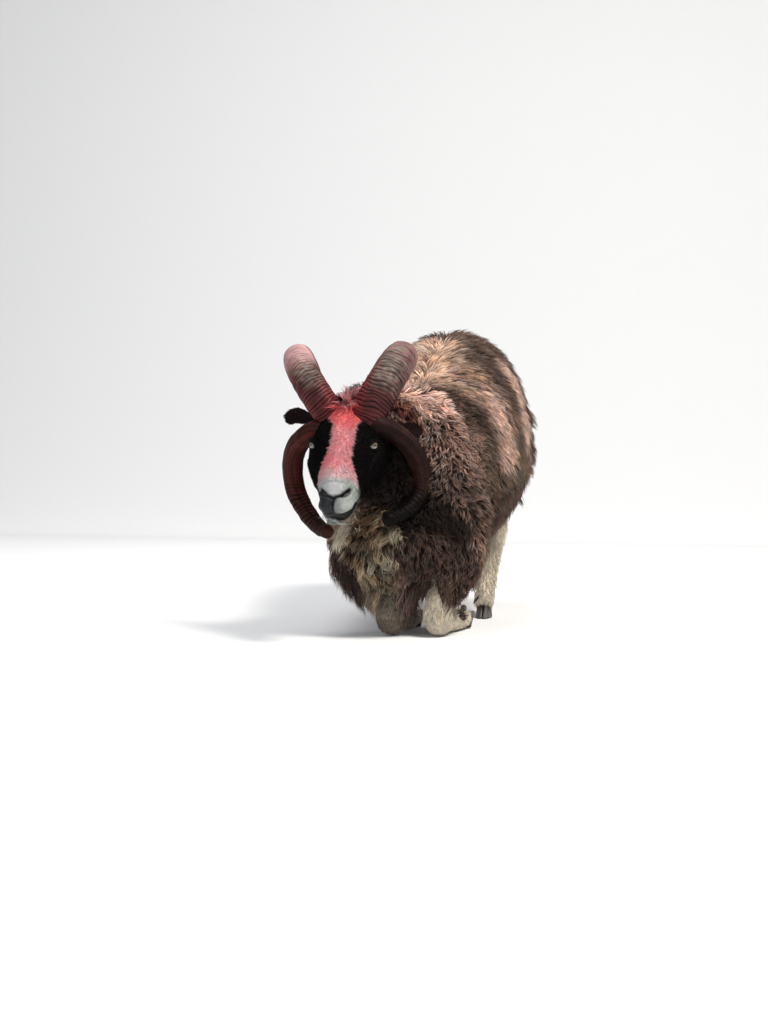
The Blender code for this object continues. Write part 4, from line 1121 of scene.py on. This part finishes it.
def lengthAt(kind, points):  # shorter at the muzzle and lids, and down the legs
    if kind == "face":
        spot = toHead(points)
        spot[:, 0] = np.abs(spot[:, 0])
        lid = ease(0.030, 0.020, np.linalg.norm(spot - eyePlace - [0.010, 0, 0], axis=1))
        muzzleEnd = ease(0.190, 0.232, spot[:, 1])
        return (1 - 0.62 * muzzleEnd) * (1 - 0.45 * lid) * (1 - 0.5 * faceDepth(points))
    if kind == "skirt":  # longest outside the right knee
        return (0.72 + 0.45 * ease(-0.09, -0.16, points[:, 0])
                + 1.05 * np.exp(-((points[:, 0] - 0.005) / 0.035) ** 2) * ease(0.08, 0.04, points[:, 1]))
    if kind in ("sleeve", "haunch"):
        low = 0.10 if kind == "sleeve" else 0.27
        return 0.62 + 0.38 * ease(low, low + 0.07, points[:, 2])
    if kind == "leg":  # longest on knees and forearms, short at the hooves and on the purse
        purse = (points[:, 1] > 0.49) & (np.abs(points[:, 0]) < 0.07)
        size = 0.55 + 0.60 * ease(0.02, 0.07, points[:, 2]) + 0.25 * ease(0.10, 0.20, points[:, 2])
        return np.where(purse, 0.60, size)
    if kind == "fleece":  # flatter beside the tail
        beside = np.linalg.norm((points - [0.012, 0.85, 0.46]) / [0.115, 0.07, 0.20], axis=1)
        return (1 + 0.12 * ripple(points, 0.15, 73)) * (1 - 0.55 * ease(1.25, 0.85, beside))
    return 1 + 0.12 * ripple(points, 0.15, 73)


def scatter(mesh, part, chosen, spacing, seed):  # even random places on the chosen parts' skin
    mesh.calc_loop_triangles()
    corners = np.empty(len(mesh.loop_triangles) * 3, np.int32)
    mesh.loop_triangles.foreach_get("vertices", corners)
    corners = corners.reshape(-1, 3)
    corners = corners[np.isin(part[corners[:, 0]], chosen)]
    points = places(mesh)
    a, b, c = (points[corners[:, k]] for k in range(3))
    across = np.cross(b - a, c - a)
    area = np.cumsum(np.linalg.norm(across, axis=1) / 2)
    chance = np.random.default_rng(seed)
    count = int(area[-1] / spacing ** 2)
    pick = np.searchsorted(area, (np.arange(count) + chance.random(count)) / count * area[-1])
    pick = np.minimum(pick, len(corners) - 1)
    u, v = chance.random((2, count, 1))
    u, v = np.where(u + v > 1, 1 - u, u), np.where(u + v > 1, 1 - v, v)
    soft = readArrows(mesh, "normal")
    spots, turned = (g[corners[pick, 0]] * (1 - u - v) + g[corners[pick, 1]] * u
                     + g[corners[pick, 2]] * v for g in (points, soft))
    return spots, unit(turned), part[corners[pick, 0]]


def lieOfCoat(points, normals, part):
    # Back and down over the body and outward from the spine, down the legs, out from the
    # blaze and towards the muzzle on the face, and out along the ears: laid on the skin.
    up = normals[:, 2].clip(0, 1)
    way = np.stack([np.tanh((points[:, 0] + 0.02) / 0.07) * (0.15 + 0.85 * up),
                    0.42 + 0 * up, -0.80 + 0 * up], -1)
    front = ease(-0.2, -0.8, normals[:, 1])[:, None] * ease(0.2, 0.05, points[:, 1])[:, None]
    way = mix(way, np.array([0.0, 0.0, -1.0]), front)
    for name in partNames:
        here = part == partNames.index(name)
        side = "left" if name.endswith(("left", "Left")) else "right"
        if name.startswith(("head", "lid")):
            spot = toHead(points[here])
            out = np.tanh((spot[:, 0] - 0.002) / 0.012)
            local = np.stack([out * 0.80, 0.42 + 0 * out, -0.45 - 0.15 * np.abs(out)], -1)
            way[here] = local @ headAxes()
        elif name.startswith("ear"):
            path = fromPoll(earPaths[side], side)
            way[here] = path[-1] - path[0]
        elif name.startswith("foreleg_"):
            lying = (points[here][:, 1] > knees[side][1] + 0.015)[:, None]
            way[here] = np.where(lying, foldWay(side), np.array([0, -0.15, -1.0]))
        elif name.startswith(("hindleg", "purse", "tail", "foreleg")):
            way[here] = [0, 0.05, -1.0]
    hanging = ((part == partNames.index("head")) & (toHead(points)[:, 2] < -0.082))[:, None]
    way = np.where(hanging, np.array([0.0, -0.25, -1.0]), way)
    swirl = 0.45 * ripple(points, 0.16, 61) * np.where(np.isin(part, headParts), 0.25, 1)
    way = unit(way - (way * normals).sum(1, keepdims=True) * normals)
    return unit(way + swirl[:, None] * np.cross(normals, way))


def keepClear(points, tips):  # true where neither root nor tip is in a horn, an eye or the ground
    fine = np.ones(len(points), bool)
    for rows in hornRows:
        sparse = rows[::8]
        for spots, slack in ((points, 1.0), (tips, 1.04)):
            nearest = nearestOf(spots, sparse[:, :3])
            gap = np.linalg.norm(spots - sparse[nearest, :3], axis=1)
            fine &= gap > sparse[nearest, 4] * slack
    for side in sideSigns:
        centre, axis, slit, rise, _ = eyeFrame(side)
        for spots in (points, tips):
            arm = spots - centre
            wide, high = eyeLook["clear"]
            flat = np.hypot(arm @ slit / wide, arm @ rise / high)
            fine &= (flat > 1) | (arm @ axis < 0.003)
            fine &= np.linalg.norm(arm, axis=1) > eyeLook["radius"] * 1.03
    return fine


def clumpPull(roots, tips, size, area, seed):
    # How far each tip is from the tip that leads its clump, and which tuft that is.
    count = max(4, int(area / size ** 2))
    chance = np.random.default_rng(seed)
    leaders = chance.choice(len(roots), min(count, len(roots)), replace=False)
    mine = leaders[nearestOf(roots, roots[leaders])]
    return tips[mine] - tips, mine


def unwrapped(points, part):  # round and along each part's longest direction, a strip for each
    found = np.zeros((len(points), 2))
    kinds = np.unique(part)
    for i, kind in enumerate(kinds):
        here = part == kind
        spots = points[here] - points[here].mean(0)
        axes = np.linalg.eigh(spots.T @ spots)[1]
        along = spots @ axes[:, 2]
        along = (along - along.min()) / max(np.ptp(along), 1e-6)
        turn = np.arctan2(spots @ axes[:, 1], spots @ axes[:, 0]) / twoPi + 0.5
        found[here] = np.stack([(i + 0.02 + 0.96 * turn) / len(kinds), 0.01 + 0.97 * along], -1)
    return found


def each(values):  # one value for each tuft, ready for its points
    return values[:, None, None]


def tuftLines(look, roots, normals, ways, size, chance, seed):
    # Each tuft's middle line rises off the skin, bends over until it lies along the coat,
    # leans to its clump's tip, droops and curls. Returns the lines, and which tuft leads each.
    count = len(roots)
    s = np.linspace(0, 1, look["rings"] + 1)[None, :, None]
    beside = np.cross(normals, ways)
    way = unit(ways[:, None] + each(chance.normal(0, look["stray"], count)) * beside[:, None])
    long = each(look["length"] * size * chance.uniform(*tuftLook["long"], count))
    tall = each(look["height"] * size ** 0.7 * chance.uniform(*tuftLook["tall"], count))
    sunk = min(tuftLook["sunk"][0], tuftLook["sunk"][1] * look["height"])
    line = (roots[:, None] + way * long * s ** tuftLook["reach"]
            + normals[:, None] * (tall * (1 - (1 - s) ** tuftLook["rise"]) - sunk))
    lean, leader = clumpPull(roots, line[:, -1], look["clump"], count * look["apart"] ** 2, seed + 1)
    line = line + look["pull"] * lean[:, None] * s ** tuftLook["lean"]
    line = line - look["droop"] * long * s ** tuftLook["sag"] * [0, 0, 1]
    bend = each(chance.uniform(0, twoPi, count)[leader] + chance.normal(0, 0.5, count))
    bend = bend + tuftLook["turn"] * s
    curl = np.cos(bend) * beside[:, None] + 0.7 * np.sin(bend) * normals[:, None]
    return line + look["curl"] * s ** 0.6 * curl, leader


def tuftPoints(look, line, normals, chance):  # three points round each line's rings, one at its tip
    ahead = unit(np.gradient(line, axis=1))
    flat = unit(np.cross(normals[:, None], ahead))
    thick = np.cross(ahead, flat) * tuftLook["oval"]
    wide = each(look["breadth"] / 2 * chance.uniform(*tuftLook["wide"], len(line)))
    wide = wide * np.array(tuftLook["widths"][look["rings"]])[:, None]
    turn = np.radians([90, 210, 330])[:, None]
    body = (line[:, :-1, None] + wide[:, :, None] * (np.cos(turn) * flat[:, :-1, None]
                                                     + np.sin(turn) * thick[:, :-1, None]))
    points = np.concatenate([body.reshape(len(line), -1, 3), line[:, -1:]], 1)
    points[..., 2] = np.maximum(points[..., 2], tuftLook["least"])
    return points


def tuftFaces(count, rings):  # the faces of this many tufts, each closed at its root and its tip
    per = 3 * rings + 1
    k, r = np.arange(3), np.arange(rings - 1)[:, None] * 3
    quads = np.stack([r + k, r + (k + 1) % 3, r + 3 + (k + 1) % 3, r + 3 + k], -1).reshape(-1, 4)
    last = 3 * (rings - 1)
    ends = np.vstack([np.stack([last + k, last + (k + 1) % 3, 0 * k + per - 1], -1), [[2, 1, 0]]])
    start = each(np.arange(count) * per)
    return (quads + start).reshape(-1, 4), (ends + start).reshape(-1, 3)


def tuftTones(kind, roots, part, strand, own, leader, chance):
    # The marking at each root, dark at the skin and lighter to the tip, lighter, darker or
    # warmer by clumps. The dark roots are partly the wool's own colour and partly painted
    # shade deep in the coat.
    count, mottle = len(roots), coats[kind]["mottle"]
    light = np.exp(mottle * (0.6 * chance.normal(0, 1, count)
                             + 0.8 * chance.normal(0, 1, count)[leader])).clip(0.5, 1.8)
    warm = 0.35 * mottle * chance.normal(0, 1, count)[leader, None].clip(-1.5, 1.5)
    root, tip = toneAt(roots, part)
    if kind == "beard":
        root, tip = allOver(faceTones["lip"], roots)
        tip = tip * (0.45 + 0.75 * chance.random((count, 1)))
    tip = tip * (1 + warm * [1.0, 0.1, -0.6])
    # the share from the dark root, partly painted shade, to the light tip
    lit = ease(0.16, 0.95, strand + 0.30 * (own - 0.5))[..., None]
    return (mix(root[:, None], tip[:, None], lit) * each(light)).reshape(-1, 3)


def growTufts(name, kind, roots, normals, ways, part, seed):  # one joined mesh of tufts
    look, rings = coats[kind], coats[kind]["rings"]
    chance = np.random.default_rng(seed)
    line, leader = tuftLines(look, roots, normals, ways, lengthAt(kind, roots), chance, seed)
    points = tuftPoints(look, line, normals, chance)
    coat = surface(name, points.reshape(-1, 3), *tuftFaces(len(roots), rings))

    strand = np.append(np.repeat(np.linspace(0, 1, rings + 1)[:-1], 3), 1.0)
    across = np.append(np.tile([0, 0.5, 1.0], rings), 0.5)
    own = chance.random(len(roots))[:, None]
    setColour(coat.data, "tone", tuftTones(kind, roots, part, strand, own, leader, chance))
    setArrow(coat.data, "lock", np.stack([across + 0 * own, strand + 0 * own, own + 0 * strand], -1))
    patch = unwrapped(roots, part)[:, None] + bakePatch * np.stack([across, strand], -1)
    corner = np.empty(len(coat.data.loops), np.int32)
    coat.data.loops.foreach_get("vertex_index", corner)
    coat.data.uv_layers.new(name="OFBake").data.foreach_set(
        "uv", patch.reshape(-1, 2)[corner].astype(np.float32).ravel())
    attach(coat, "root")
    return coat


def growCoat(kind, seed):  # one kind of tufts over its parts, in pieces of a fair size
    look = coats[kind]
    roots, normals, part = scatter(skin.data, skinPart, partsNamed(*look["on"]), look["apart"], seed)
    chance = np.random.default_rng(seed + 3)
    fine = chance.random(len(roots)) < shareOf(kind, roots)
    ways = lieOfCoat(roots, normals, part)
    fine &= keepClear(roots, roots + ways * look["length"] * 0.8 + normals * look["height"])
    if kind == "face":
        fine &= faceDepth(roots) < 0.55
    roots, normals, ways, part = (g[fine] for g in (roots, normals, ways, part))
    pieces = int(np.ceil(len(roots) * ((look["rings"] - 1) * 6 + 4) / mostTriangles))
    order = np.argsort(roots @ [0.3, 1.0, 0.2], kind="stable")
    made = []
    for i, here in enumerate(np.array_split(order, pieces)):
        made.append(growTufts(f"{kind}Coat_{i + 1}", kind, roots[here], normals[here], ways[here],
                              part[here], seed + 10 * i))
    print(f"coat {kind}: {len(roots)} tufts in {pieces}")
    return made


coatPieces = {kind: growCoat(kind, 100 + 50 * i) for i, kind in enumerate(coats)}

# finishes


def feed(tree, socket, source):  # a link from another node's socket, or a fixed value
    if hasattr(source, "is_output"):
        tree.links.new(source, socket)
    else:
        socket.default_value = source


def nodeGroup(name, takes, gives):  # a named shader group with its sockets, and its two ends
    made = bpy.data.node_groups.new(name, "ShaderNodeTree")
    for (label, kind), way in [(p, "INPUT") for p in takes] + [(p, "OUTPUT") for p in gives]:
        made.interface.new_socket(name=label, in_out=way, socket_type=f"NodeSocket{kind}")
    return made, made.nodes.new("NodeGroupInput"), made.nodes.new("NodeGroupOutput")


def place(tree, kind, joins=(), **settings):  # one node, its settings, and what feeds its inputs
    made = tree.nodes.new(f"ShaderNode{kind}")
    for name, value in settings.items():
        setattr(made, name, value)
    for socket, source in dict(joins).items():
        feed(tree, made.inputs[socket], source)
    return made


def attribute(tree, name, out="Fac"):  # what is kept for each vertex under this name
    return place(tree, "Attribute", attribute_name=name).outputs[out]


def sumOf(tree, how, *values):  # one step of arithmetic
    return place(tree, "Math", dict(enumerate(values)), operation=how).outputs[0]


def arrowOf(tree, how, *values):  # the same on arrows and colours
    return place(tree, "VectorMath", dict(enumerate(values)), operation=how).outputs[0]


def lengthOf(tree, arrow):  # how long an arrow is
    return place(tree, "VectorMath", {0: arrow}, operation="LENGTH").outputs["Value"]


def noise(tree, where, scale, detail, rough=0.5):  # a soft random value at each place
    return place(tree, "TexNoise", {"Vector": where, "Scale": scale, "Detail": detail,
                                    "Roughness": rough}).outputs["Fac"]


def blendColour(tree, share, first, second):  # from the first colour to the second
    return place(tree, "Mix", {0: share, 6: first, 7: second}, data_type="RGBA").outputs[2]


def spread(tree, value, *ends):  # a value's range, low and high, stretched to another
    return place(tree, "MapRange", dict(enumerate((value, *ends)))).outputs[0]


def shaded(tree, start, swing):  # a group's tone made lighter and darker by its contrast
    shade = sumOf(tree, "MULTIPLY_ADD", swing, start.outputs["Contrast"], 1.0)
    return place(tree, "VectorMath", {0: start.outputs["Tone"], "Scale": shade},
                 operation="SCALE").outputs[0]


def makeFibres():
    # Fine fibres along each tuft: noise drawn out along the strand, shading its tone, with
    # slow dusty drifts over the body.
    tree, start, end = nodeGroup("fibres", [("Tone", "Color"), ("Fibre count", "Float"),
                                            ("Contrast", "Float"), ("Dust", "Color")],
                                 [("Colour", "Color"), ("Height", "Float")])
    apart = place(tree, "SeparateXYZ", {0: attribute(tree, "lock", "Vector")}).outputs
    own = sumOf(tree, "MULTIPLY", apart[2], 57.0)
    across = sumOf(tree, "MULTIPLY_ADD", apart[0], start.outputs["Fibre count"], own)
    along = sumOf(tree, "MULTIPLY_ADD", apart[1], 2.2, own)
    where = place(tree, "CombineXYZ", {0: across, 1: along, 2: own}).outputs[0]
    fine = noise(tree, where, 1.0, 3.0, 0.6)
    toned = shaded(tree, start, spread(tree, fine, 0.30, 0.70, -1.0, 1.0))
    drift = noise(tree, place(tree, "TexCoord").outputs["Object"], 14.0, 4.0, 0.65)
    dusty = spread(tree, drift, 0.45, 0.72, 0.0, 0.08)
    feed(tree, end.inputs["Colour"], blendColour(tree, dusty, toned, start.outputs["Dust"]))
    feed(tree, end.inputs["Height"], fine)
    return tree


def makeGrain():
    # Two sizes of noise on the object itself: a mottled tone, a height for bump and a mask.
    tree, start, end = nodeGroup("grain", [("Tone", "Color"), ("Scale", "Float"),
                                           ("Contrast", "Float"), ("Stretch", "Vector")],
                                 [("Colour", "Color"), ("Height", "Float"), ("Mask", "Float")])
    spot = place(tree, "TexCoord").outputs["Object"]
    drawn = arrowOf(tree, "MULTIPLY", spot, start.outputs["Stretch"])
    fine = noise(tree, drawn, start.outputs["Scale"], 6.0, 0.65)
    broad = noise(tree, spot, 30.0, 3.0)
    swing = spread(tree, sumOf(tree, "ADD", fine, broad), 0.7, 1.3, -1.0, 1.0)
    feed(tree, end.inputs["Colour"], shaded(tree, start, swing))
    feed(tree, end.inputs["Height"], fine)
    feed(tree, end.inputs["Mask"], broad)
    return tree


fibres, grain = makeFibres(), makeGrain()


def startMaterial(name, **fixed):  # a material, and its shader with fixed values
    made = bpy.data.materials.new(name)
    made.use_nodes = True
    shader = made.node_tree.nodes["Principled BSDF"]
    for label, value in fixed.items():
        shader.inputs[label].default_value = value
    return made, made.node_tree, shader.inputs


def addGroup(tree, group, **values):  # a use of a group; _ stands for a space in an input's name
    made = tree.nodes.new("ShaderNodeGroup")
    made.node_tree = group
    for label, value in values.items():
        feed(tree, made.inputs[label.replace("_", " ")], value)
    return made.outputs


def bump(tree, height, strength, distance):  # a normal tilted by a height
    return place(tree, "Bump", {"Height": height, "Strength": strength,
                                "Distance": distance}).outputs[0]


hairLooks = {  # slot: material, fibres across a tuft, their contrast, dust, roughness, gloss, sheen
    "fleece": ("fleeceWool", 5.0, 0.30, (0.14, 0.100, 0.074), 0.75, 0.12, 0.03),
    "leg_hair": ("legHair", 3.0, 0.22, (0.24, 0.19, 0.14), 0.68, 0.18, 0.02),
    "face_hair": ("faceHair", 2.5, 0.22, (0.012, 0.009, 0.008), 0.68, 0.03, 0.0),
}


def hairMaterial(name, count, contrast, dust, rough, gloss, sheen):
    made, tree, shader = startMaterial(name, **{
        "Roughness": rough, "Specular IOR Level": gloss, "Sheen Weight": sheen,
        "Sheen Roughness": 0.5})
    strands = addGroup(tree, fibres, Tone=attribute(tree, "tone", "Color"), Fibre_count=count,
                       Contrast=contrast, Dust=(*dust, 1))
    feed(tree, shader["Base Color"], strands["Colour"])
    feed(tree, shader["Normal"], bump(tree, strands["Height"], 0.55, 0.0008))
    return made


def skinMaterial():  # markings, fine grain, and a moist leathery nose
    made, tree, shader = startMaterial("ramSkin", **{
        "Specular IOR Level": 0.06, "Coat Roughness": 0.38})
    bare = attribute(tree, "bare")
    pores = addGroup(tree, grain, Tone=attribute(tree, "tone", "Color"), Scale=420.0, Contrast=0.20,
                     Stretch=(1, 1, 1))
    pebbles = place(tree, "TexVoronoi", {"Scale": 620.0}, feature="SMOOTH_F1").outputs["Distance"]
    height = place(tree, "Mix", {0: bare, 2: pores["Height"], 3: pebbles}, data_type="FLOAT")
    feed(tree, shader["Base Color"], pores["Colour"])
    feed(tree, shader["Roughness"], spread(tree, bare, 0, 1, 0.75, 0.42))
    feed(tree, shader["Coat Weight"], spread(tree, bare, 0, 1, 0.0, 0.35))
    feed(tree, shader["Normal"], bump(tree, height.outputs[0], 0.4, 0.0006))
    return made


def hornMaterial(name, gloss):  # ringed keratin: rough in the grooves, rubbed smooth on the crests
    made, tree, shader = startMaterial(name, **{"Specular IOR Level": gloss})
    depth = attribute(tree, "depth")
    mottle = addGroup(tree, grain, Tone=attribute(tree, "tone", "Color"), Scale=260.0, Contrast=0.34,
                      Stretch=(1, 1, 1))
    scurf = spread(tree, mottle["Mask"], 0.52, 0.74, 0.0, 0.28)
    pale = arrowOf(tree, "MULTIPLY_ADD", mottle["Colour"], (1.9, 1.9, 1.9), (0.010, 0.009, 0.008))
    feed(tree, shader["Base Color"], blendColour(tree, scurf, mottle["Colour"], pale))
    feed(tree, shader["Roughness"], spread(tree, depth, 0, 0.8, 0.50, 0.85))
    feed(tree, shader["Normal"], bump(tree, mottle["Height"], 0.55, 0.0012))
    return made


def hoofMaterial():  # dark horn with growth rings, paler and scuffed at the toe
    made, tree, shader = startMaterial("ramHoof", **{"Specular IOR Level": 0.35})
    ramp = place(tree, "ValToRGB", {0: attribute(tree, "height")})
    ramp.color_ramp.elements[0].color = (0.105, 0.088, 0.070, 1)
    ramp.color_ramp.elements[1].color = (0.030, 0.024, 0.021, 1)
    worn = addGroup(tree, grain, Tone=ramp.outputs[0], Scale=300.0, Contrast=0.35,
                    Stretch=(1, 1, 2.5))
    feed(tree, shader["Base Color"], worn["Colour"])
    feed(tree, shader["Roughness"], spread(tree, worn["Mask"], 0.3, 0.7, 0.45, 0.70))
    feed(tree, shader["Normal"], bump(tree, worn["Height"], 0.5, 0.0008))
    return made


def eyeMaterial():
    # On the ball's own directions (level, upright, forward): a level slit pupil in an amber
    # iris with fine spokes, a painted pale reflection across its lower part, a dark rim, and
    # brown white-of-the-eye behind it.
    made, tree, shader = startMaterial("ramEye", **{
        "Roughness": 0.06, "Specular IOR Level": 0.6, "Coat Weight": 1.0, "Coat Roughness": 0.02})
    level, upright, _ = place(tree, "SeparateXYZ", {0: attribute(tree, "look", "Vector")}).outputs
    flat = place(tree, "CombineXYZ", {0: level, 1: upright}).outputs[0]
    away = lengthOf(tree, flat)
    slitAway = lengthOf(tree, arrowOf(tree, "MULTIPLY", flat, (1 / 0.42, 1 / 0.19, 0)))
    spoke = place(tree, "CombineXYZ", {0: sumOf(tree, "ARCTAN2", upright, level), 1: away}).outputs[0]
    shades = (  # share, colour: each laid over those before it
        (spread(tree, noise(tree, spoke, 9.0, 4.0), 0.35, 0.65, 0, 1), (0.150, 0.105, 0.050, 1)),
        # painted reflection: a pale grey crescent across the lower iris
        (spread(tree, upright, -0.16, -0.34, 0, 0.8), (0.30, 0.31, 0.27, 1)),
        (spread(tree, away, 0.56, 0.74, 0, 1), (0.030, 0.018, 0.012, 1)),
        (spread(tree, away, 0.84, 0.92, 0, 1), (0.14, 0.095, 0.075, 1)),
        (spread(tree, slitAway, 0.92, 1.04, 1, 0), (0.004, 0.004, 0.006, 1)),
    )
    colour = (0.050, 0.030, 0.013, 1)
    for share, shade in shades:
        colour = blendColour(tree, share, colour, shade)
    feed(tree, shader["Base Color"], colour)
    return made


def finish(pieces, material):  # this material alone on each piece
    for piece in pieces:
        piece.data.materials.clear()
        piece.data.materials.append(material)


finish([skin], skinMaterial())
finish(horns[::2], hornMaterial("upperHorn", 0.20))
finish(horns[1::2], hornMaterial("sideHorn", 0.07))
finish(hooves, hoofMaterial())
finish(eyes, eyeMaterial())
hairFinishes = {slot: hairMaterial(*look) for slot, look in hairLooks.items()}
for kind, pieces in coatPieces.items():
    finish(pieces, hairFinishes[coats[kind]["slot"]])
print("finishes done")

# camera, floor and lights

view = {"place": (0.7646, -4.7392, 0.6270), "turn": math.radians(10.0), "pitch": math.radians(3.92),
        "lens": 70.3125}
camera = bpy.data.objects.new("camera", bpy.data.cameras.new("camera"))
bpy.context.scene.collection.objects.link(camera)
camera.data.sensor_width, camera.data.lens = 36.0, view["lens"]
camera.location = np.array(view["place"]) + middle
camera.rotation_euler = (math.pi / 2 - view["pitch"], 0, view["turn"])
bpy.context.scene.camera = camera

studio = {"floor": (0.46, 0.455, 0.44), "sky": (0.86, 0.89, 0.94), "skyStrength": 0.42}
profile = through([(-9, 0.0), (1.5, 0.0), (3.4, 0.05), (4.6, 0.9), (5.0, 2.6), (5.1, 6.0)], 12)
wide = np.linspace(-9, 9, 5)
sweep = np.stack([wide[None] + 0 * profile[:, :1], profile[:, :1] + 0 * wide[None],
                  profile[:, 1:] + 0 * wide[None]], -1)
rows, columns = sweep.shape[:2]
i, j = np.arange(rows - 1)[:, None] * columns, np.arange(columns - 1)
floor = surface("floor", sweep.reshape(-1, 3) + [0, 0, -0.0002],
                np.stack([i + j, i + j + 1, i + columns + j + 1, i + columns + j], -1).reshape(-1, 4))

lamps = [  # name, place, aim, size, watts, colour
    ("key", (2.3, -1.5, 4.1), (0, 0.1, 0.4), 1.3, 270, (1.0, 0.965, 0.91)),
    ("fill", (-3.0, -3.4, 2.2), (0, 0.1, 0.4), 2.6, 45, (0.92, 0.96, 1.0)),
    ("top", (-0.6, 0.6, 4.4), (0, 0.2, 0.4), 1.8, 95, (1.0, 1.0, 1.0)),
]
for name, spot, aim, size, watts, tint in lamps:
    lamp = bpy.data.objects.new(name, bpy.data.lights.new(name, "AREA"))
    lamp.data.size, lamp.data.energy, lamp.data.color = size, watts, tint
    bpy.context.scene.collection.objects.link(lamp)
    lamp.location = Vector(spot)
    lamp.rotation_euler = (Vector(spot) - Vector(aim)).to_track_quat("Z", "Y").to_euler()
world = bpy.data.worlds.new("sky")
bpy.context.scene.world = world
world.use_nodes = True
sky = world.node_tree.nodes["Background"].inputs
sky["Color"].default_value = (*studio["sky"], 1)
sky["Strength"].default_value = studio["skyStrength"]
bpy.context.scene.view_settings.view_transform = "Standard"
